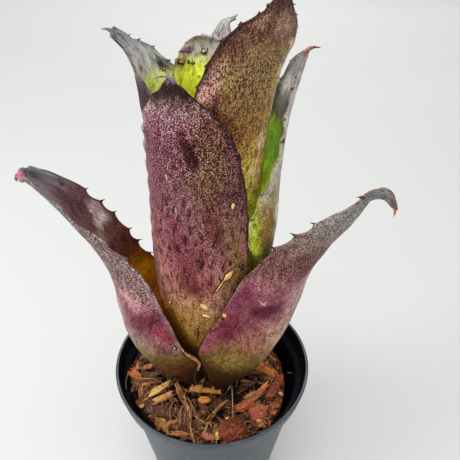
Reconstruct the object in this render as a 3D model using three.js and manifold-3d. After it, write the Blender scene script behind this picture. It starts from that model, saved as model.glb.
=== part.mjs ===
import * as THREE from "three";
import Module from "manifold-3d";

// A potted Hohenbergia leopoldo-horstii: seven stiff channelled leaves around a short stem, in a black
// 10 cm nursery pot filled with bark chips. Millimetres, +Z up, pot axis on Z, pot underside at z = 0.
const wasm = await Module();
wasm.setup();
const { Manifold } = wasm;

// Pot
const POT_HEIGHT = 90;
const RIM_RADIUS = 50;
const COLLAR_HEIGHT = 8.6;
const COLLAR_FOOT_RADIUS = 48.3;
const BODY_TOP_RADIUS = 45.2;
const BASE_RADIUS = 33.3;
const WALL = 1.2;
const LIP = 1.5;
const FLOOR = 1.6;
const DRAIN_COUNT = 6;
const DRAIN_RADIUS = 3;
const DRAIN_CIRCLE = 22;

// Growing medium: a plug whose top falls to the right and which has shrunk from the wall there
const MEDIUM_GAP = 0.4;
const MEDIUM_CENTRE_Z = 77.5;
const MEDIUM_FALL = 5.5;
const MEDIUM_DISH_Z = 78;
const MEDIUM_DISH_RADIUS = 15;
const MEDIUM_SHRINK = 4.5;
const MEDIUM_SEED = 41;
const CHIP_COUNT = 40;

// Plant axis, a little off the pot axis, and the short stem
const PLANT_X = 1;
const PLANT_Y = -1;
const STEM_FOOT_Z = 58;
const STEM_CLEARANCE = 0.35;
const STEM_PROFILE = [
  [0, STEM_FOOT_Z],
  [8.6, STEM_FOOT_Z],
  [9.2, 70],
  [10.9, 76],
  [10.9, 80],
  [8.4, 82],
  [7.8, 86.2],
  [6.3, 87.4],
  [6.0, 93],
  [3.5, 99],
  [0, 101],
];

// Leaf blade
const LEAF_ROWS = 26;
const LEAF_COLUMNS = 8;
const MID_THICKNESS = 1.2;
const EDGE_THICKNESS = 0.7;
const SPINE_ROOT = 1.1;
const SPINE_LEAN = -0.45;
const SPINE_WIDTH_SHARE = 0.9;
const TIP_SPINE_LENGTH = 4;

// Radius of the leaf tube that the outer leaves lean against: [z, radius]
const TUBE = [[78, 11.2], [93, 15.2], [106, 20.6], [124, 25.2], [145, 27.4], [160, 28.7], [180, 30], [230, 31]];
const TUBE_BLEND = 1.2;

// Thorns: where along the blade they start and end, their spacing and their length
const FRONT_THORNS = { first: 0.42, last: 0.74, step: 7, length: 1.1 };
const TALL_THORNS = { first: 0.6, last: 0.95, step: 6.5, length: 1.6 };
const RIGHT_INNER_THORNS = { first: 0.5, last: 0.92, step: 8, length: 1.2 };
const BACK_LEFT_THORNS = { first: 0.64, last: 0.95, step: 6, length: 1.4 };
const BACK_CENTRE_THORNS = { first: 0.55, last: 0.78, step: 7, length: 1.4 };
const LEFT_OUTER_THORNS = { first: 0.33, last: 0.72, step: 9, length: 2.0 };
const RIGHT_OUTER_THORNS = { first: 0.28, last: 0.76, step: 10, length: 2.2 };

// Leaf stations from base to tip. Columns: direction of the midrib round the plant axis in degrees,
// reach from the axis, height, half width on the clockwise side, half width on the other side,
// radius of the channel, and roll of the channel in degrees.
const FRONT = [
  [-113, 9.5, 84, 10, 10, 10, 0],
  [-113, 13, 93, 15, 15, 13, 0],
  [-113, 18.5, 106, 20, 20, 18, 0],
  [-113, 23, 124, 25, 25, 22.5, 0],
  [-113, 25.3, 145, 26.5, 27.2, 25, 0],
  [-113, 25.5, 170, 26, 25.7, 25, 0],
  [-113, 24.8, 195, 25.5, 24.5, 24.5, 0],
  [-113, 25.2, 215, 23.5, 21, 24.5, 0],
  [-114, 25.8, 228, 16.3, 15.5, 24, 0],
  [-115, 25.9, 236.5, 8.2, 6.4, 20, 0],
  [-117, 25.8, 241.5, 2, 2, 12, 0],
  [-123, 26, 243.2, 1.3, 1.3, 6, 0],
  [-134, 26.2, 241, 0.5, 0.5, 4, 0],
];
const TALL = [
  [-42, 7.6, 88, 8, 8, 8, 0],
  [-42, 11, 97, 12, 12, 11, 0],
  [-42, 15.5, 110, 17, 17, 15.5, 0],
  [-42, 18.3, 130, 20, 19, 17.8, 0],
  [-42, 19.5, 160, 21, 19, 17.5, 0],
  [-42, 19.5, 190, 21, 17, 16.3, 0],
  [-42, 20.3, 215, 26.5, 22, 19.4, 0],
  [-43, 23.7, 235, 24.5, 16, 21.9, 4],
  [-42, 26, 250, 18.4, 20.3, 28.5, -4],
  [-38, 27, 259, 7.5, 12, 26.7, -4],
  [-33, 26, 267.5, 1.2, 1.2, 12, 0],
];
const RIGHT_INNER = [
  [15, 9.2, 86, 10, 10, 9.5, 0],
  [15, 12.6, 95, 14, 14, 12.5, 0],
  [15, 17.4, 108, 18, 18, 17, 0],
  [15, 21.8, 128, 22.5, 22, 21.8, 0],
  [15, 25, 153, 21.5, 24.5, 22.8, 0],
  [15, 25.2, 168, 26.5, 25, 26, 0],
  [15, 25.8, 181, 34.2, 24, 26.7, 2],
  [15, 26.8, 195, 28.5, 20, 27, -5],
  [15, 27.2, 211, 17, 13, 22.5, -1],
  [13, 29.2, 226, 13.5, 10, 16.5, 0],
  [12, 32, 237.5, 10, 6.5, 12, 0],
  [11, 34, 243, 2, 2, 8, 0],
];
const BACK_LEFT = [
  [175, 8.8, 86, 9.5, 8.5, 9.5, 0],
  [175, 11.5, 95, 13, 12, 12, 0],
  [175, 16.2, 108, 17, 16, 16.5, 0],
  [175, 20.2, 128, 21, 20, 20, 0],
  [175, 22, 160, 23, 22, 21.8, 0],
  [175, 22.6, 190, 24, 22.5, 22.2, 0],
  [175, 23.2, 212, 25, 21, 21.4, 0],
  [176, 24.7, 227, 25, 22.5, 20, -1],
  [177, 25.8, 238, 16, 12.7, 20.7, 1.5],
  [179, 29, 245.4, 7.3, 3.5, 16.5, -1],
  [181, 33, 249.6, 4.6, 3.3, 8, 0],
];
const BACK_CENTRE = [
  [85, 7.4, 88, 8, 8, 8, 0],
  [85, 10, 97, 11, 11, 10, 0],
  [85, 13.5, 110, 15, 15, 14, 0],
  [85, 16.8, 130, 18, 18, 16.5, 0],
  [85, 18, 160, 20, 20, 17.5, 0],
  [85, 18.8, 190, 20.5, 20.5, 18.5, 0],
  [85, 20.1, 213, 19.5, 19.5, 19.5, 0],
  [84, 20.6, 228, 16, 19.3, 19.8, 0],
  [83, 22.3, 236, 12, 17.8, 20.4, 0],
  [82, 22.5, 242, 7, 13.2, 19, 0],
  [81, 22.3, 243.5, 4.3, 5.4, 16, 0],
  [78.5, 22.5, 249.2, 1.9, 1.6, 12, 0],
  [71.5, 25.2, 250.6, 0.8, 0.8, 8, 0],
];
const LEFT_OUTER = [
  [190, 11.8, 79, 17, 14.3, 11.5, 0],
  [190, 20.5, 87, 24, 22.5, 18, 0],
  [190, 32, 101, 31, 38.5, 22.5, 1.5],
  [190, 40, 118, 31.5, 38, 23.5, 0.5],
  [190, 43, 137, 32, 32.5, 19, -1],
  [190, 44, 154, 22.5, 26, 17, 0],
  [190, 49, 170, 18.5, 20, 14.5, 0.5],
  [190, 56, 184, 15, 13.5, 15, -1.5],
  [190, 63, 195, 10.5, 10, 13, 0],
  [190, 67.8, 200.8, 6.3, 7, 8, 0],
  [190, 70.5, 202.3, 3.6, 4.2, 4.5, 0],
  [190, 72, 201.8, 1.8, 2, 2.5, 0],
];
const RIGHT_OUTER = [
  [-18, 11.8, 79, 15.5, 16, 11.5, 0],
  [-18, 17, 88, 25.5, 23, 17, 0],
  [-18, 27, 104, 41, 29, 24, -3],
  [-18, 34, 121, 42.5, 29, 23, -8],
  [-18, 38, 140, 39.5, 26, 23, -17.5],
  [-18, 41.5, 157, 36.5, 22, 24, -11],
  [-18, 47, 172, 19.5, 16, 12.5, -21.5],
  [-18, 53.5, 185, 14, 12, 16, -30],
  [-18, 58.7, 196, 7, 7, 13, -30],
  [-18, 62.8, 202.3, 3.8, 3.8, 8, -20],
  [-18, 67, 200.5, 2.7, 2.7, 6, -12],
  [-18, 69.5, 196.8, 1.3, 1.3, 4, -8],
];

const radians = (degrees) => degrees * Math.PI / 180;

// Repeatable random numbers in 0..1
function seeded(seed) {
  let state = seed;
  return () => {
    state = (state * 1103515245 + 12345) % 2147483648;
    return state / 2147483648;
  };
}

// One smooth row of values at t in 0..1 along a table of stations
function stationAt(table, t) {
  const last = table.length - 1;
  const x = t * last;
  const k = Math.min(Math.floor(x), last - 1);
  const f = x - k;
  return table[0].map((_, c) => {
    const p1 = table[k][c];
    const p2 = table[k + 1][c];
    const p0 = k > 0 ? table[k - 1][c] : 2 * p1 - p2;
    const p3 = k + 2 <= last ? table[k + 2][c] : 2 * p2 - p1;
    const a = -p0 + 3 * p1 - 3 * p2 + p3;
    const b = 2 * p0 - 5 * p1 + 4 * p2 - p3;
    return 0.5 * (2 * p1 + (p2 - p0) * f + b * f * f + a * f * f * f);
  });
}

function midribPoint(row) {
  const a = radians(row[0]);
  return new THREE.Vector3(PLANT_X + row[1] * Math.cos(a), PLANT_Y + row[1] * Math.sin(a), row[2]);
}

// Radius of the leaf tube at height z
function tubeRadius(z) {
  if (z <= TUBE[0][0]) return TUBE[0][1];
  for (let i = 1; i < TUBE.length; i += 1) {
    const [z1, r1] = TUBE[i];
    const [z0, r0] = TUBE[i - 1];
    if (z <= z1) return r0 + (r1 - r0) * (z - z0) / (z1 - z0);
  }
  return TUBE[TUBE.length - 1][1];
}

// Keep an outer leaf outside the tube, with a soft transition
function leanOnTube(p) {
  const dx = p.x - PLANT_X;
  const dy = p.y - PLANT_Y;
  const r = Math.hypot(dx, dy);
  const wanted = tubeRadius(p.z);
  const kept = 0.5 * (r + wanted + Math.hypot(r - wanted, TUBE_BLEND));
  p.x = PLANT_X + dx * kept / r;
  p.y = PLANT_Y + dy * kept / r;
  return p;
}

// Point on the middle surface of a leaf: t from base to tip, s from -1 to 1 across
function bladePoint(table, t, s, outside) {
  const row = stationAt(table, t);
  const step = 0.004;
  const ahead = midribPoint(stationAt(table, Math.min(1, t + step)));
  const behind = midribPoint(stationAt(table, Math.max(0, t - step)));
  const along = ahead.sub(behind).normalize();
  const a = radians(row[0]);
  const level = new THREE.Vector3(-Math.sin(a), Math.cos(a), 0);
  const out = new THREE.Vector3().crossVectors(level, along).normalize();
  const side = new THREE.Vector3().crossVectors(along, out);
  const roll = radians(row[6]);
  const out2 = out.clone().multiplyScalar(Math.cos(roll)).addScaledVector(side, Math.sin(roll));
  const side2 = side.clone().multiplyScalar(Math.cos(roll)).addScaledVector(out, -Math.sin(roll));
  const arc = s < 0 ? s * row[3] : s * row[4];
  const phi = arc / row[5];
  const p = midribPoint(row);
  p.addScaledVector(side2, row[5] * Math.sin(phi));
  p.addScaledVector(out2, -row[5] * (1 - Math.cos(phi)));
  return outside ? leanOnTube(p) : p;
}

function bladeNormal(table, t, s, outside) {
  const dt = 0.006;
  const ds = 0.03;
  const a = bladePoint(table, Math.min(1, t + dt), s, outside);
  const b = bladePoint(table, Math.max(0, t - dt), s, outside);
  const c = bladePoint(table, t, Math.min(1, s + ds), outside);
  const d = bladePoint(table, t, Math.max(-1, s - ds), outside);
  return new THREE.Vector3().crossVectors(c.sub(d), a.sub(b)).normalize();
}

const toManifold = (positions, triangles) => new Manifold(new wasm.Mesh({
  numProp: 3,
  vertProperties: new Float32Array(positions),
  triVerts: new Uint32Array(triangles),
}));

// A tapered blade: two like-triangulated faces joined by a rim
function bladeSolid(table, outside) {
  const positions = [];
  const width = LEAF_COLUMNS + 1;
  const layer = (LEAF_ROWS + 1) * width;
  for (const face of [1, -1]) {
    for (let i = 0; i <= LEAF_ROWS; i += 1) {
      for (let j = 0; j <= LEAF_COLUMNS; j += 1) {
        const t = i / LEAF_ROWS;
        const s = 2 * j / LEAF_COLUMNS - 1;
        const taper = Math.max(Math.abs(s) ** 2, Math.max(0, t - 0.8) * 5);
        const half = 0.5 * (MID_THICKNESS + (EDGE_THICKNESS - MID_THICKNESS) * taper);
        const p = bladePoint(table, t, s, outside);
        p.addScaledVector(bladeNormal(table, t, s, outside), face * half);
        positions.push(p.x, p.y, p.z);
      }
    }
  }
  const triangles = [];
  const at = (face, i, j) => (face > 0 ? 0 : layer) + i * width + j;
  for (let i = 0; i < LEAF_ROWS; i += 1) {
    for (let j = 0; j < LEAF_COLUMNS; j += 1) {
      for (const face of [1, -1]) {
        const a = at(face, i, j);
        const b = at(face, i, j + 1);
        const c = at(face, i + 1, j + 1);
        const d = at(face, i + 1, j);
        const quad = j < LEAF_COLUMNS / 2 ? [a, b, d, b, c, d] : [a, b, c, a, c, d];
        triangles.push(...(face > 0 ? quad : quad.reverse()));
      }
    }
  }
  const strip = (edge) => {
    for (let k = 0; k + 1 < edge.length; k += 1) {
      const [o0, n0] = edge[k];
      const [o1, n1] = edge[k + 1];
      triangles.push(o0, n0, n1, o0, n1, o1);
    }
  };
  const pair = (i, j) => [at(1, i, j), at(-1, i, j)];
  const rim = [];
  for (let j = 0; j <= LEAF_COLUMNS; j += 1) rim.push(pair(0, j));
  for (let i = 1; i <= LEAF_ROWS; i += 1) rim.push(pair(i, LEAF_COLUMNS));
  for (let j = LEAF_COLUMNS - 1; j >= 0; j -= 1) rim.push(pair(LEAF_ROWS, j));
  for (let i = LEAF_ROWS - 1; i >= 0; i -= 1) rim.push(pair(i, 0));
  strip(rim);
  return toManifold(positions, triangles);
}

// A four-sided thorn from a root frame to its point
function thorn(root, point, wide, flat) {
  const positions = [];
  for (const [a, b] of [[-1, -1], [1, -1], [1, 1], [-1, 1]]) {
    const p = root.clone().addScaledVector(wide, a).addScaledVector(flat, b);
    positions.push(p.x, p.y, p.z);
  }
  positions.push(point.x, point.y, point.z);
  const solid = toManifold(positions, [0, 1, 4, 1, 2, 4, 2, 3, 4, 3, 0, 4, 0, 2, 1, 0, 3, 2]);
  return solid.volume() > 0 ? solid : toManifold(positions, [0, 4, 1, 1, 4, 2, 2, 4, 3, 3, 4, 0, 0, 1, 2, 0, 2, 3]);
}

// Thorns at even steps along both margins, and one at the tip
function leafThorns(table, { first, last, step, length }, outside) {
  const thorns = [];
  for (const s of [-1, 1]) {
    let previous = bladePoint(table, first, s, outside);
    let walked = s > 0 ? step / 2 : 0;
    for (let t = first; t < last; t += 0.002) {
      const here = bladePoint(table, t, s, outside);
      walked += here.distanceTo(previous);
      previous = here;
      if (walked < step) continue;
      walked = 0;
      const inner = bladePoint(table, t, s * 0.9, outside);
      const away = here.clone().sub(inner).normalize();
      const after = bladePoint(table, t + 0.004, s, outside);
      const before = bladePoint(table, t - 0.004, s, outside);
      const along = after.sub(before).normalize();
      const flat = new THREE.Vector3().crossVectors(away, along).normalize();
      const root = here.clone().addScaledVector(away, -SPINE_ROOT);
      const point = here.clone().addScaledVector(away, length).addScaledVector(along, length * SPINE_LEAN);
      const wide = along.clone().multiplyScalar(length * SPINE_WIDTH_SHARE / 2);
      thorns.push(thorn(root, point, wide, flat.multiplyScalar(EDGE_THICKNESS * 0.42)));
    }
  }
  const tip = bladePoint(table, 1, 0, outside);
  const back = bladePoint(table, 0.97, 0, outside);
  const ahead = tip.clone().sub(back).normalize();
  const across = bladePoint(table, 1, 1, outside).sub(bladePoint(table, 1, -1, outside)).normalize();
  const flat = new THREE.Vector3().crossVectors(ahead, across).multiplyScalar(EDGE_THICKNESS * 0.45);
  const root = tip.clone().addScaledVector(ahead, -1.5);
  const point = tip.clone().addScaledVector(ahead, TIP_SPINE_LENGTH);
  thorns.push(thorn(root, point, across.multiplyScalar(0.6), flat));
  return thorns;
}

// A leaf with its thorns; an outside leaf leans on the tube
function leaf(table, thorns, outside = false) {
  return Manifold.union([bladeSolid(table, outside), ...leafThorns(table, thorns, outside)]);
}

// A closed solid of revolution about Z from [radius, z] points
function lathe(profile, segments) {
  const flat = new wasm.CrossSection([profile], "Positive");
  return flat.revolve(segments);
}

function potSolid() {
  const slope = (BODY_TOP_RADIUS - BASE_RADIUS) / (POT_HEIGHT - COLLAR_HEIGHT);
  const inside = BASE_RADIUS + slope * FLOOR - WALL;
  const body = lathe([
    [0, 0],
    [BASE_RADIUS - 0.8, 0],
    [BASE_RADIUS, 0.8],
    [BODY_TOP_RADIUS, POT_HEIGHT - COLLAR_HEIGHT - 0.6],
    [COLLAR_FOOT_RADIUS, POT_HEIGHT - COLLAR_HEIGHT],
    [RIM_RADIUS - 0.3, POT_HEIGHT - 0.6],
    [RIM_RADIUS - 0.6, POT_HEIGHT],
    [RIM_RADIUS - LIP, POT_HEIGHT],
    [COLLAR_FOOT_RADIUS - LIP, POT_HEIGHT - COLLAR_HEIGHT + 1.2],
    [BODY_TOP_RADIUS - WALL, POT_HEIGHT - COLLAR_HEIGHT - 0.6],
    [inside, FLOOR],
    [0, FLOOR],
  ], 64);
  const drains = [];
  for (let i = 0; i < DRAIN_COUNT; i += 1) {
    const a = 2 * Math.PI * (i + 0.5) / DRAIN_COUNT;
    const hole = Manifold.cylinder(FLOOR * 3, DRAIN_RADIUS, DRAIN_RADIUS, 12);
    drains.push(hole.translate([DRAIN_CIRCLE * Math.cos(a), DRAIN_CIRCLE * Math.sin(a), -FLOOR]));
  }
  return body.subtract(Manifold.union(drains));
}

function wallInside(z) {
  const slope = (BODY_TOP_RADIUS - BASE_RADIUS) / (POT_HEIGHT - COLLAR_HEIGHT);
  return BASE_RADIUS + slope * z - WALL;
}

// Height of the medium, which falls from left to right
const mediumLevel = (x) => MEDIUM_CENTRE_Z - MEDIUM_FALL * x / 42;

// Radius of the plug at angle a and height z: shrunk from the wall on the right
function plugRadius(a, z) {
  const shrink = MEDIUM_SHRINK * Math.max(0, Math.cos(a)) ** 2 * Math.max(0, (z - 40) / 40);
  const spread = z > 78 ? 2 * Math.max(0, -Math.cos(a)) : 0;
  return wallInside(z) - MEDIUM_GAP - 0.5 - shrink + spread;
}

function mediumSolid() {
  const random = seeded(MEDIUM_SEED);
  const around = 40;
  const rings = [0, 10, 18, 26, 33, 39];
  const positions = [];
  const triangles = [];
  const bump = () => (random() - 0.5) * 2.4;
  const levels = [FLOOR + MEDIUM_GAP, 30, 55];
  for (let i = 0; i < around; i += 1) {
    const a = 2 * Math.PI * i / around;
    for (const z of levels) positions.push(plugRadius(a, z) * Math.cos(a), plugRadius(a, z) * Math.sin(a), z);
    const edge = mediumLevel(42 * Math.cos(a));
    const r = plugRadius(a, edge - 1) - 0.6;
    positions.push(r * Math.cos(a), r * Math.sin(a), edge - 1 + bump() * 0.4);
    for (let k = rings.length - 2; k >= 1; k -= 1) {
      const x = rings[k] * Math.cos(a);
      positions.push(x, rings[k] * Math.sin(a), mediumLevel(x) + bump());
    }
  }
  const per = levels.length + 1 + rings.length - 2;
  for (let i = 0; i < around; i += 1) {
    const n = (i + 1) % around;
    for (let k = 0; k + 1 < per; k += 1) {
      const a = i * per + k;
      const b = n * per + k;
      triangles.push(a, b, b + 1, a, b + 1, a + 1);
    }
  }
  const low = positions.length / 3;
  positions.push(0, 0, levels[0]);
  positions.push(0, 0, mediumLevel(0));
  for (let i = 0; i < around; i += 1) {
    const n = (i + 1) % around;
    triangles.push(low, n * per, i * per);
    triangles.push(low + 1, i * per + per - 1, n * per + per - 1);
  }
  let solid = toManifold(positions, triangles);
  const chips = [];
  for (let i = 0; i < CHIP_COUNT; i += 1) {
    const a = 2 * Math.PI * (i * 0.618 + 0.06 * random());
    const r = 16 + 21 * Math.sqrt(random());
    const size = [7 + 7 * random(), 4 + 4 * random(), 2.4 + 1.6 * random()];
    const turn = [(random() - 0.5) * 50, (random() - 0.5) * 50, random() * 180];
    const x = r * Math.cos(a);
    const y = r * Math.sin(a);
    const reach = Math.min(r, plugRadius(a, 70) - 7.5) / r;
    chips.push(Manifold.cube(size, true).rotate(turn).translate([x * reach, y * reach, mediumLevel(x * reach) + 0.4]));
  }
  solid = Manifold.union([solid, ...chips]);
  const shoulder = POT_HEIGHT - COLLAR_HEIGHT;
  const limit = lathe([
    [0, 0],
    [wallInside(0) - MEDIUM_GAP, 0],
    [wallInside(shoulder) - MEDIUM_GAP, shoulder],
    [COLLAR_FOOT_RADIUS - LIP - MEDIUM_GAP, shoulder + 1.8],
    [COLLAR_FOOT_RADIUS - LIP - MEDIUM_GAP, POT_HEIGHT],
    [0, POT_HEIGHT],
  ], 64);
  const bore = STEM_PROFILE.slice(1, 4).map(([r, z]) => [r + STEM_CLEARANCE, z]);
  const foot = STEM_FOOT_Z - STEM_CLEARANCE;
  bore[0][1] = foot;
  const hole = lathe([
    [0, foot],
    ...bore,
    [bore[2][0], MEDIUM_DISH_Z - 0.4],
    [MEDIUM_DISH_RADIUS, MEDIUM_DISH_Z],
    [MEDIUM_DISH_RADIUS + 3, POT_HEIGHT],
    [0, POT_HEIGHT],
  ], 24).translate([PLANT_X, PLANT_Y, 0]);
  return solid.intersect(limit).subtract(hole);
}

function stemSolid() {
  return lathe(STEM_PROFILE, 24).translate([PLANT_X, PLANT_Y, 0]);
}

function meshOf(name, solid, colour, roughness) {
  const data = solid.getMesh();
  const geometry = new THREE.BufferGeometry();
  const points = new Float32Array(data.numVert * 3);
  for (let i = 0; i < data.numVert; i += 1) {
    for (let k = 0; k < 3; k += 1) points[3 * i + k] = data.vertProperties[i * data.numProp + k];
  }
  geometry.setAttribute("position", new THREE.BufferAttribute(points, 3));
  geometry.setIndex(new THREE.BufferAttribute(new Uint32Array(data.triVerts), 1));
  geometry.computeVertexNormals();
  const material = new THREE.MeshStandardMaterial({ color: colour, roughness, metalness: 0 });
  const mesh = new THREE.Mesh(geometry, material);
  mesh.name = name;
  return mesh;
}

const plant = new THREE.Group();
plant.name = "potted_hohenbergia";
plant.add(meshOf("pot", potSolid(), 0x17181a, 0.45));
plant.add(meshOf("growing_medium", mediumSolid(), 0x6b3f26, 0.9));
plant.add(meshOf("stem", stemSolid(), 0x6a5a34, 0.7));
plant.add(meshOf("leaf_front", leaf(FRONT, FRONT_THORNS), 0x5b2f3d, 0.5));
plant.add(meshOf("leaf_tall", leaf(TALL, TALL_THORNS), 0x6d5a2c, 0.5));
plant.add(meshOf("leaf_right_inner", leaf(RIGHT_INNER, RIGHT_INNER_THORNS), 0x8a9440, 0.5));
plant.add(meshOf("leaf_back_left", leaf(BACK_LEFT, BACK_LEFT_THORNS), 0x6a6068, 0.5));
plant.add(meshOf("leaf_back_centre", leaf(BACK_CENTRE, BACK_CENTRE_THORNS), 0x8fa83a, 0.5));
plant.add(meshOf("leaf_left_outer", leaf(LEFT_OUTER, LEFT_OUTER_THORNS, true), 0x6b4350, 0.5));
plant.add(meshOf("leaf_right_outer", leaf(RIGHT_OUTER, RIGHT_OUTER_THORNS, true), 0x6b4350, 0.5));

export default plant;
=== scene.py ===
"""Potted Hohenbergia leopoldo-horstii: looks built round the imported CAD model.

Tables are in millimetres and degrees, in the CAD model's frame. Colours are sRGB, 0 to 255.
On a leaf, t runs from base to tip, and s runs across from -1, the clockwise margin seen from above, to 1.
"""

import math

import bmesh
import bpy
import numpy as np
from mathutils import Euler, Matrix, Vector

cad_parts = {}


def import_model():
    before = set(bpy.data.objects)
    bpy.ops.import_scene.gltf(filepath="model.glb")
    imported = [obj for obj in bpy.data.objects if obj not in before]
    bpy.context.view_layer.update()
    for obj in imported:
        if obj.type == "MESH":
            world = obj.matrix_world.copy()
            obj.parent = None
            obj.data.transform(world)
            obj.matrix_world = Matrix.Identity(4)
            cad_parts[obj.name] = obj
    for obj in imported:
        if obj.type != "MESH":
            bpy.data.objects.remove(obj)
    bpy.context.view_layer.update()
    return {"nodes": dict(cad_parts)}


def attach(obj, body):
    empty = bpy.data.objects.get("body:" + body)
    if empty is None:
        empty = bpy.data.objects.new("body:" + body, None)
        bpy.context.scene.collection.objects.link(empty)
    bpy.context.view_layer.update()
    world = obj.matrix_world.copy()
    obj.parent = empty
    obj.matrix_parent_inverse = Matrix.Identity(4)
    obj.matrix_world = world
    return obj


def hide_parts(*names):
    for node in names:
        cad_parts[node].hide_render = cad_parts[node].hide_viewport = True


MM = 0.001

# Camera, fitted to the pot's rim and sides
CAMERA_PLACE = (8.24, -165.37, 284.58)
CAMERA_PITCH = 34.53
CAMERA_ROLL = 0.77
CAMERA_LENS = 36.78
SENSOR = 36.0
CLIP_NEAR = 0.01
CLIP_FAR = 50

# Lights: place, size and power. They all aim at one place.
LIGHTS = {
    "key": ((-760, -220, 640), 420, 4.5),
    "top": ((-60, -260, 900), 420, 3.4),
    "back": ((0, 1900, 1500), 1200, 23),
}
LIGHT_AIM = (0, 0, 120)
SKY = 0.84
FLOOR_SIZE = 6000
FLOOR_TINTS = ((190, 191, 190), (194, 195, 193))

# Plant axis and the tube of upright leaves that the outer ones lean against: [height, radius]
PLANT_X = 1.0
PLANT_Y = -1.0
TUBE = np.array([(78, 11.2), (93, 15.2), (106, 20.6), (124, 25.2), (145, 27.4), (160, 28.7), (180, 30),
                 (230, 31)])
TUBE_BLEND = 1.2
OUTER_LEAVES = ("leaf_left_outer", "leaf_right_outer")

# Blade: rows crowd towards the tip and columns towards the margins
ROWS = 250
COLUMNS = 56
ROW_CROWDING = 1.6
COLUMN_CROWDING = 1.25
MID_THICKNESS = 1.2
EDGE_THICKNESS = 0.7
MARGIN_START = 0.7
MARGIN_WIDTH = 0.3
RUFFLE_START = 0.35
DENT = 0.2
THORN_ROOT = 1.1
THORN_LEAN = -0.5
THORN_COLOUR = (58, 36, 34)
THORN_TAPER = np.array([1.5, 1.25, 0.86, 0.58, 0.38, 0.24, 0.12, 0.02])
THORN_FLARE = {"leaf_tall": 1.4}
RIM_START = 0.955
RIM_FADE = 0.035
WASH_REACH = 1.35
WASH_WANDER = 0.3
WOBBLE_SCALES = (3, 5, 8, 13)
GRAIN_TINT = (0.75, 1.15, 1.05)
SMALL_KIND = (0.2, 0, 0.1)
MARK_POINTS = 11
TIP_POINTS = 12
TIP_UP = (0.3, -0.4, 0.86)

# Offsets that give each leaf, and each face of it, its own part of the grain
LEAF_OFFSET = 40.0
FACE_OFFSET = 20

# Colours that the leaf material lays over the tints of each leaf: multipliers, then two sRGB colours;
# the second, on scattered pale dots, is partly the leaf's silvery scurf and partly painted glints
STREAK_SHADE = (0.5, 0.42, 0.42, 1)
PATCH_SHADE = (0.56, 0.46, 0.48, 1)
MOTTLE_PALE = (1.25, 1.3, 1.3, 1)
MOTTLE_DARK = (0.52, 0.36, 0.4, 1)
FLECK_COLOUR = (60, 10, 24)
SCURF_AND_GLINT_COLOUR = (208, 196, 202)

# Pot, a common 10 cm nursery pot
POT_HEIGHT = 90
RIM_RADIUS = 50
COLLAR_HEIGHT = 8.6
COLLAR_FOOT_RADIUS = 48.3
BODY_TOP_RADIUS = 45.2
BASE_RADIUS = 33.3
WALL = 1.2
LIP = 1.5
POT_FLOOR = 1.6
DRAIN_COUNT = 6
DRAIN_RADIUS = 3
DRAIN_CIRCLE = 22
FLOOR_DISC = DRAIN_CIRCLE + 6
SHOULDER = POT_HEIGHT - COLLAR_HEIGHT
FOOT_BEVEL = 0.8
SHOULDER_BEVEL = 0.6
RIM_BEVEL = 0.6
COLLAR_STEP = 1.2
POT_SEGMENTS = 192
CIRCLE_POINTS = 64
INSIDE_TOP = 89
POT_TINTS = ((44, 50, 57), (76, 84, 92))
# The inside tints are painted shade: the inner wall takes a darker, less glossy copy of the same plastic
POT_SHADED_INSIDE_TINTS = ((8, 10, 14), (20, 23, 28))
SCRATCH_COLOUR = (150, 158, 164)
DUST_COLOUR = (220, 222, 220)

# Growing medium
MEDIUM_CENTRE_Z = 77.5
MEDIUM_FALL = 5.5
MEDIUM_SHRINK = 4.5
MEDIUM_GAP = 0.4
MEDIUM_REACH = 42
SHRINK_FROM = 40
SPREAD_ABOVE = 78
SPREAD = 2
PLUG_INSET = 0.5
PLUG_LEVELS = (25, 45, 60)
PLUG_AROUND = 160
PLUG_RINGS = 44
PLUG_DEPTH = 1.8
PLUG_EDGE_DROP = 2.5
PLUG_ROUGHNESS = (-1.1, 0.9)
WALL_CLEARANCE = 0.2
EDGE_LEVEL = 72.0
GOLDEN_ANGLE = 2.39996

# Where loose pieces may lie: smallest radius, span beyond it, distance kept from the medium's edge
CHIP_RING = (13, 33, 2.5)
FIBRE_RING = (12, 34, 1.5)
SLIVER_RING = (13, 33, 4.5)

# Colours of the medium and the stem, then counts, sizes and seeds of the loose pieces
# The soil tints are near black: partly the medium's own dark colour, partly painted shade in the gaps
# between the chips
SOIL_TINTS_WITH_GAP_SHADE = ((9, 5, 3), (48, 24, 13))
THREAD_COLOUR = (140, 84, 46)
BARK_SHADOW = (30, 14, 6)
BARK_DUST = (226, 164, 92)
STEM_TINTS = ((44, 30, 14), (100, 78, 38))
CHIP_COUNT = 420
CHIP_SMALLEST = (2.8, 1.0, 0.7)
CHIP_GROWTH = (7, 2.8, 1.7)
CHIP_TILT = 30
CHIP_ROLL = 45
FIBRE_COUNT = 520
SLIVER_COUNT = 420
EDGE_FIBRE_COUNT = 110
BRISTLE_COUNT = 170
CHIP_SEED = 7
FIBRE_SEED = 12
SHEATH_SEED = 5
OLD_LEAF_SEED = 3
PEBBLE_SEED = 8
HUSK_SEED = 9

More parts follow.
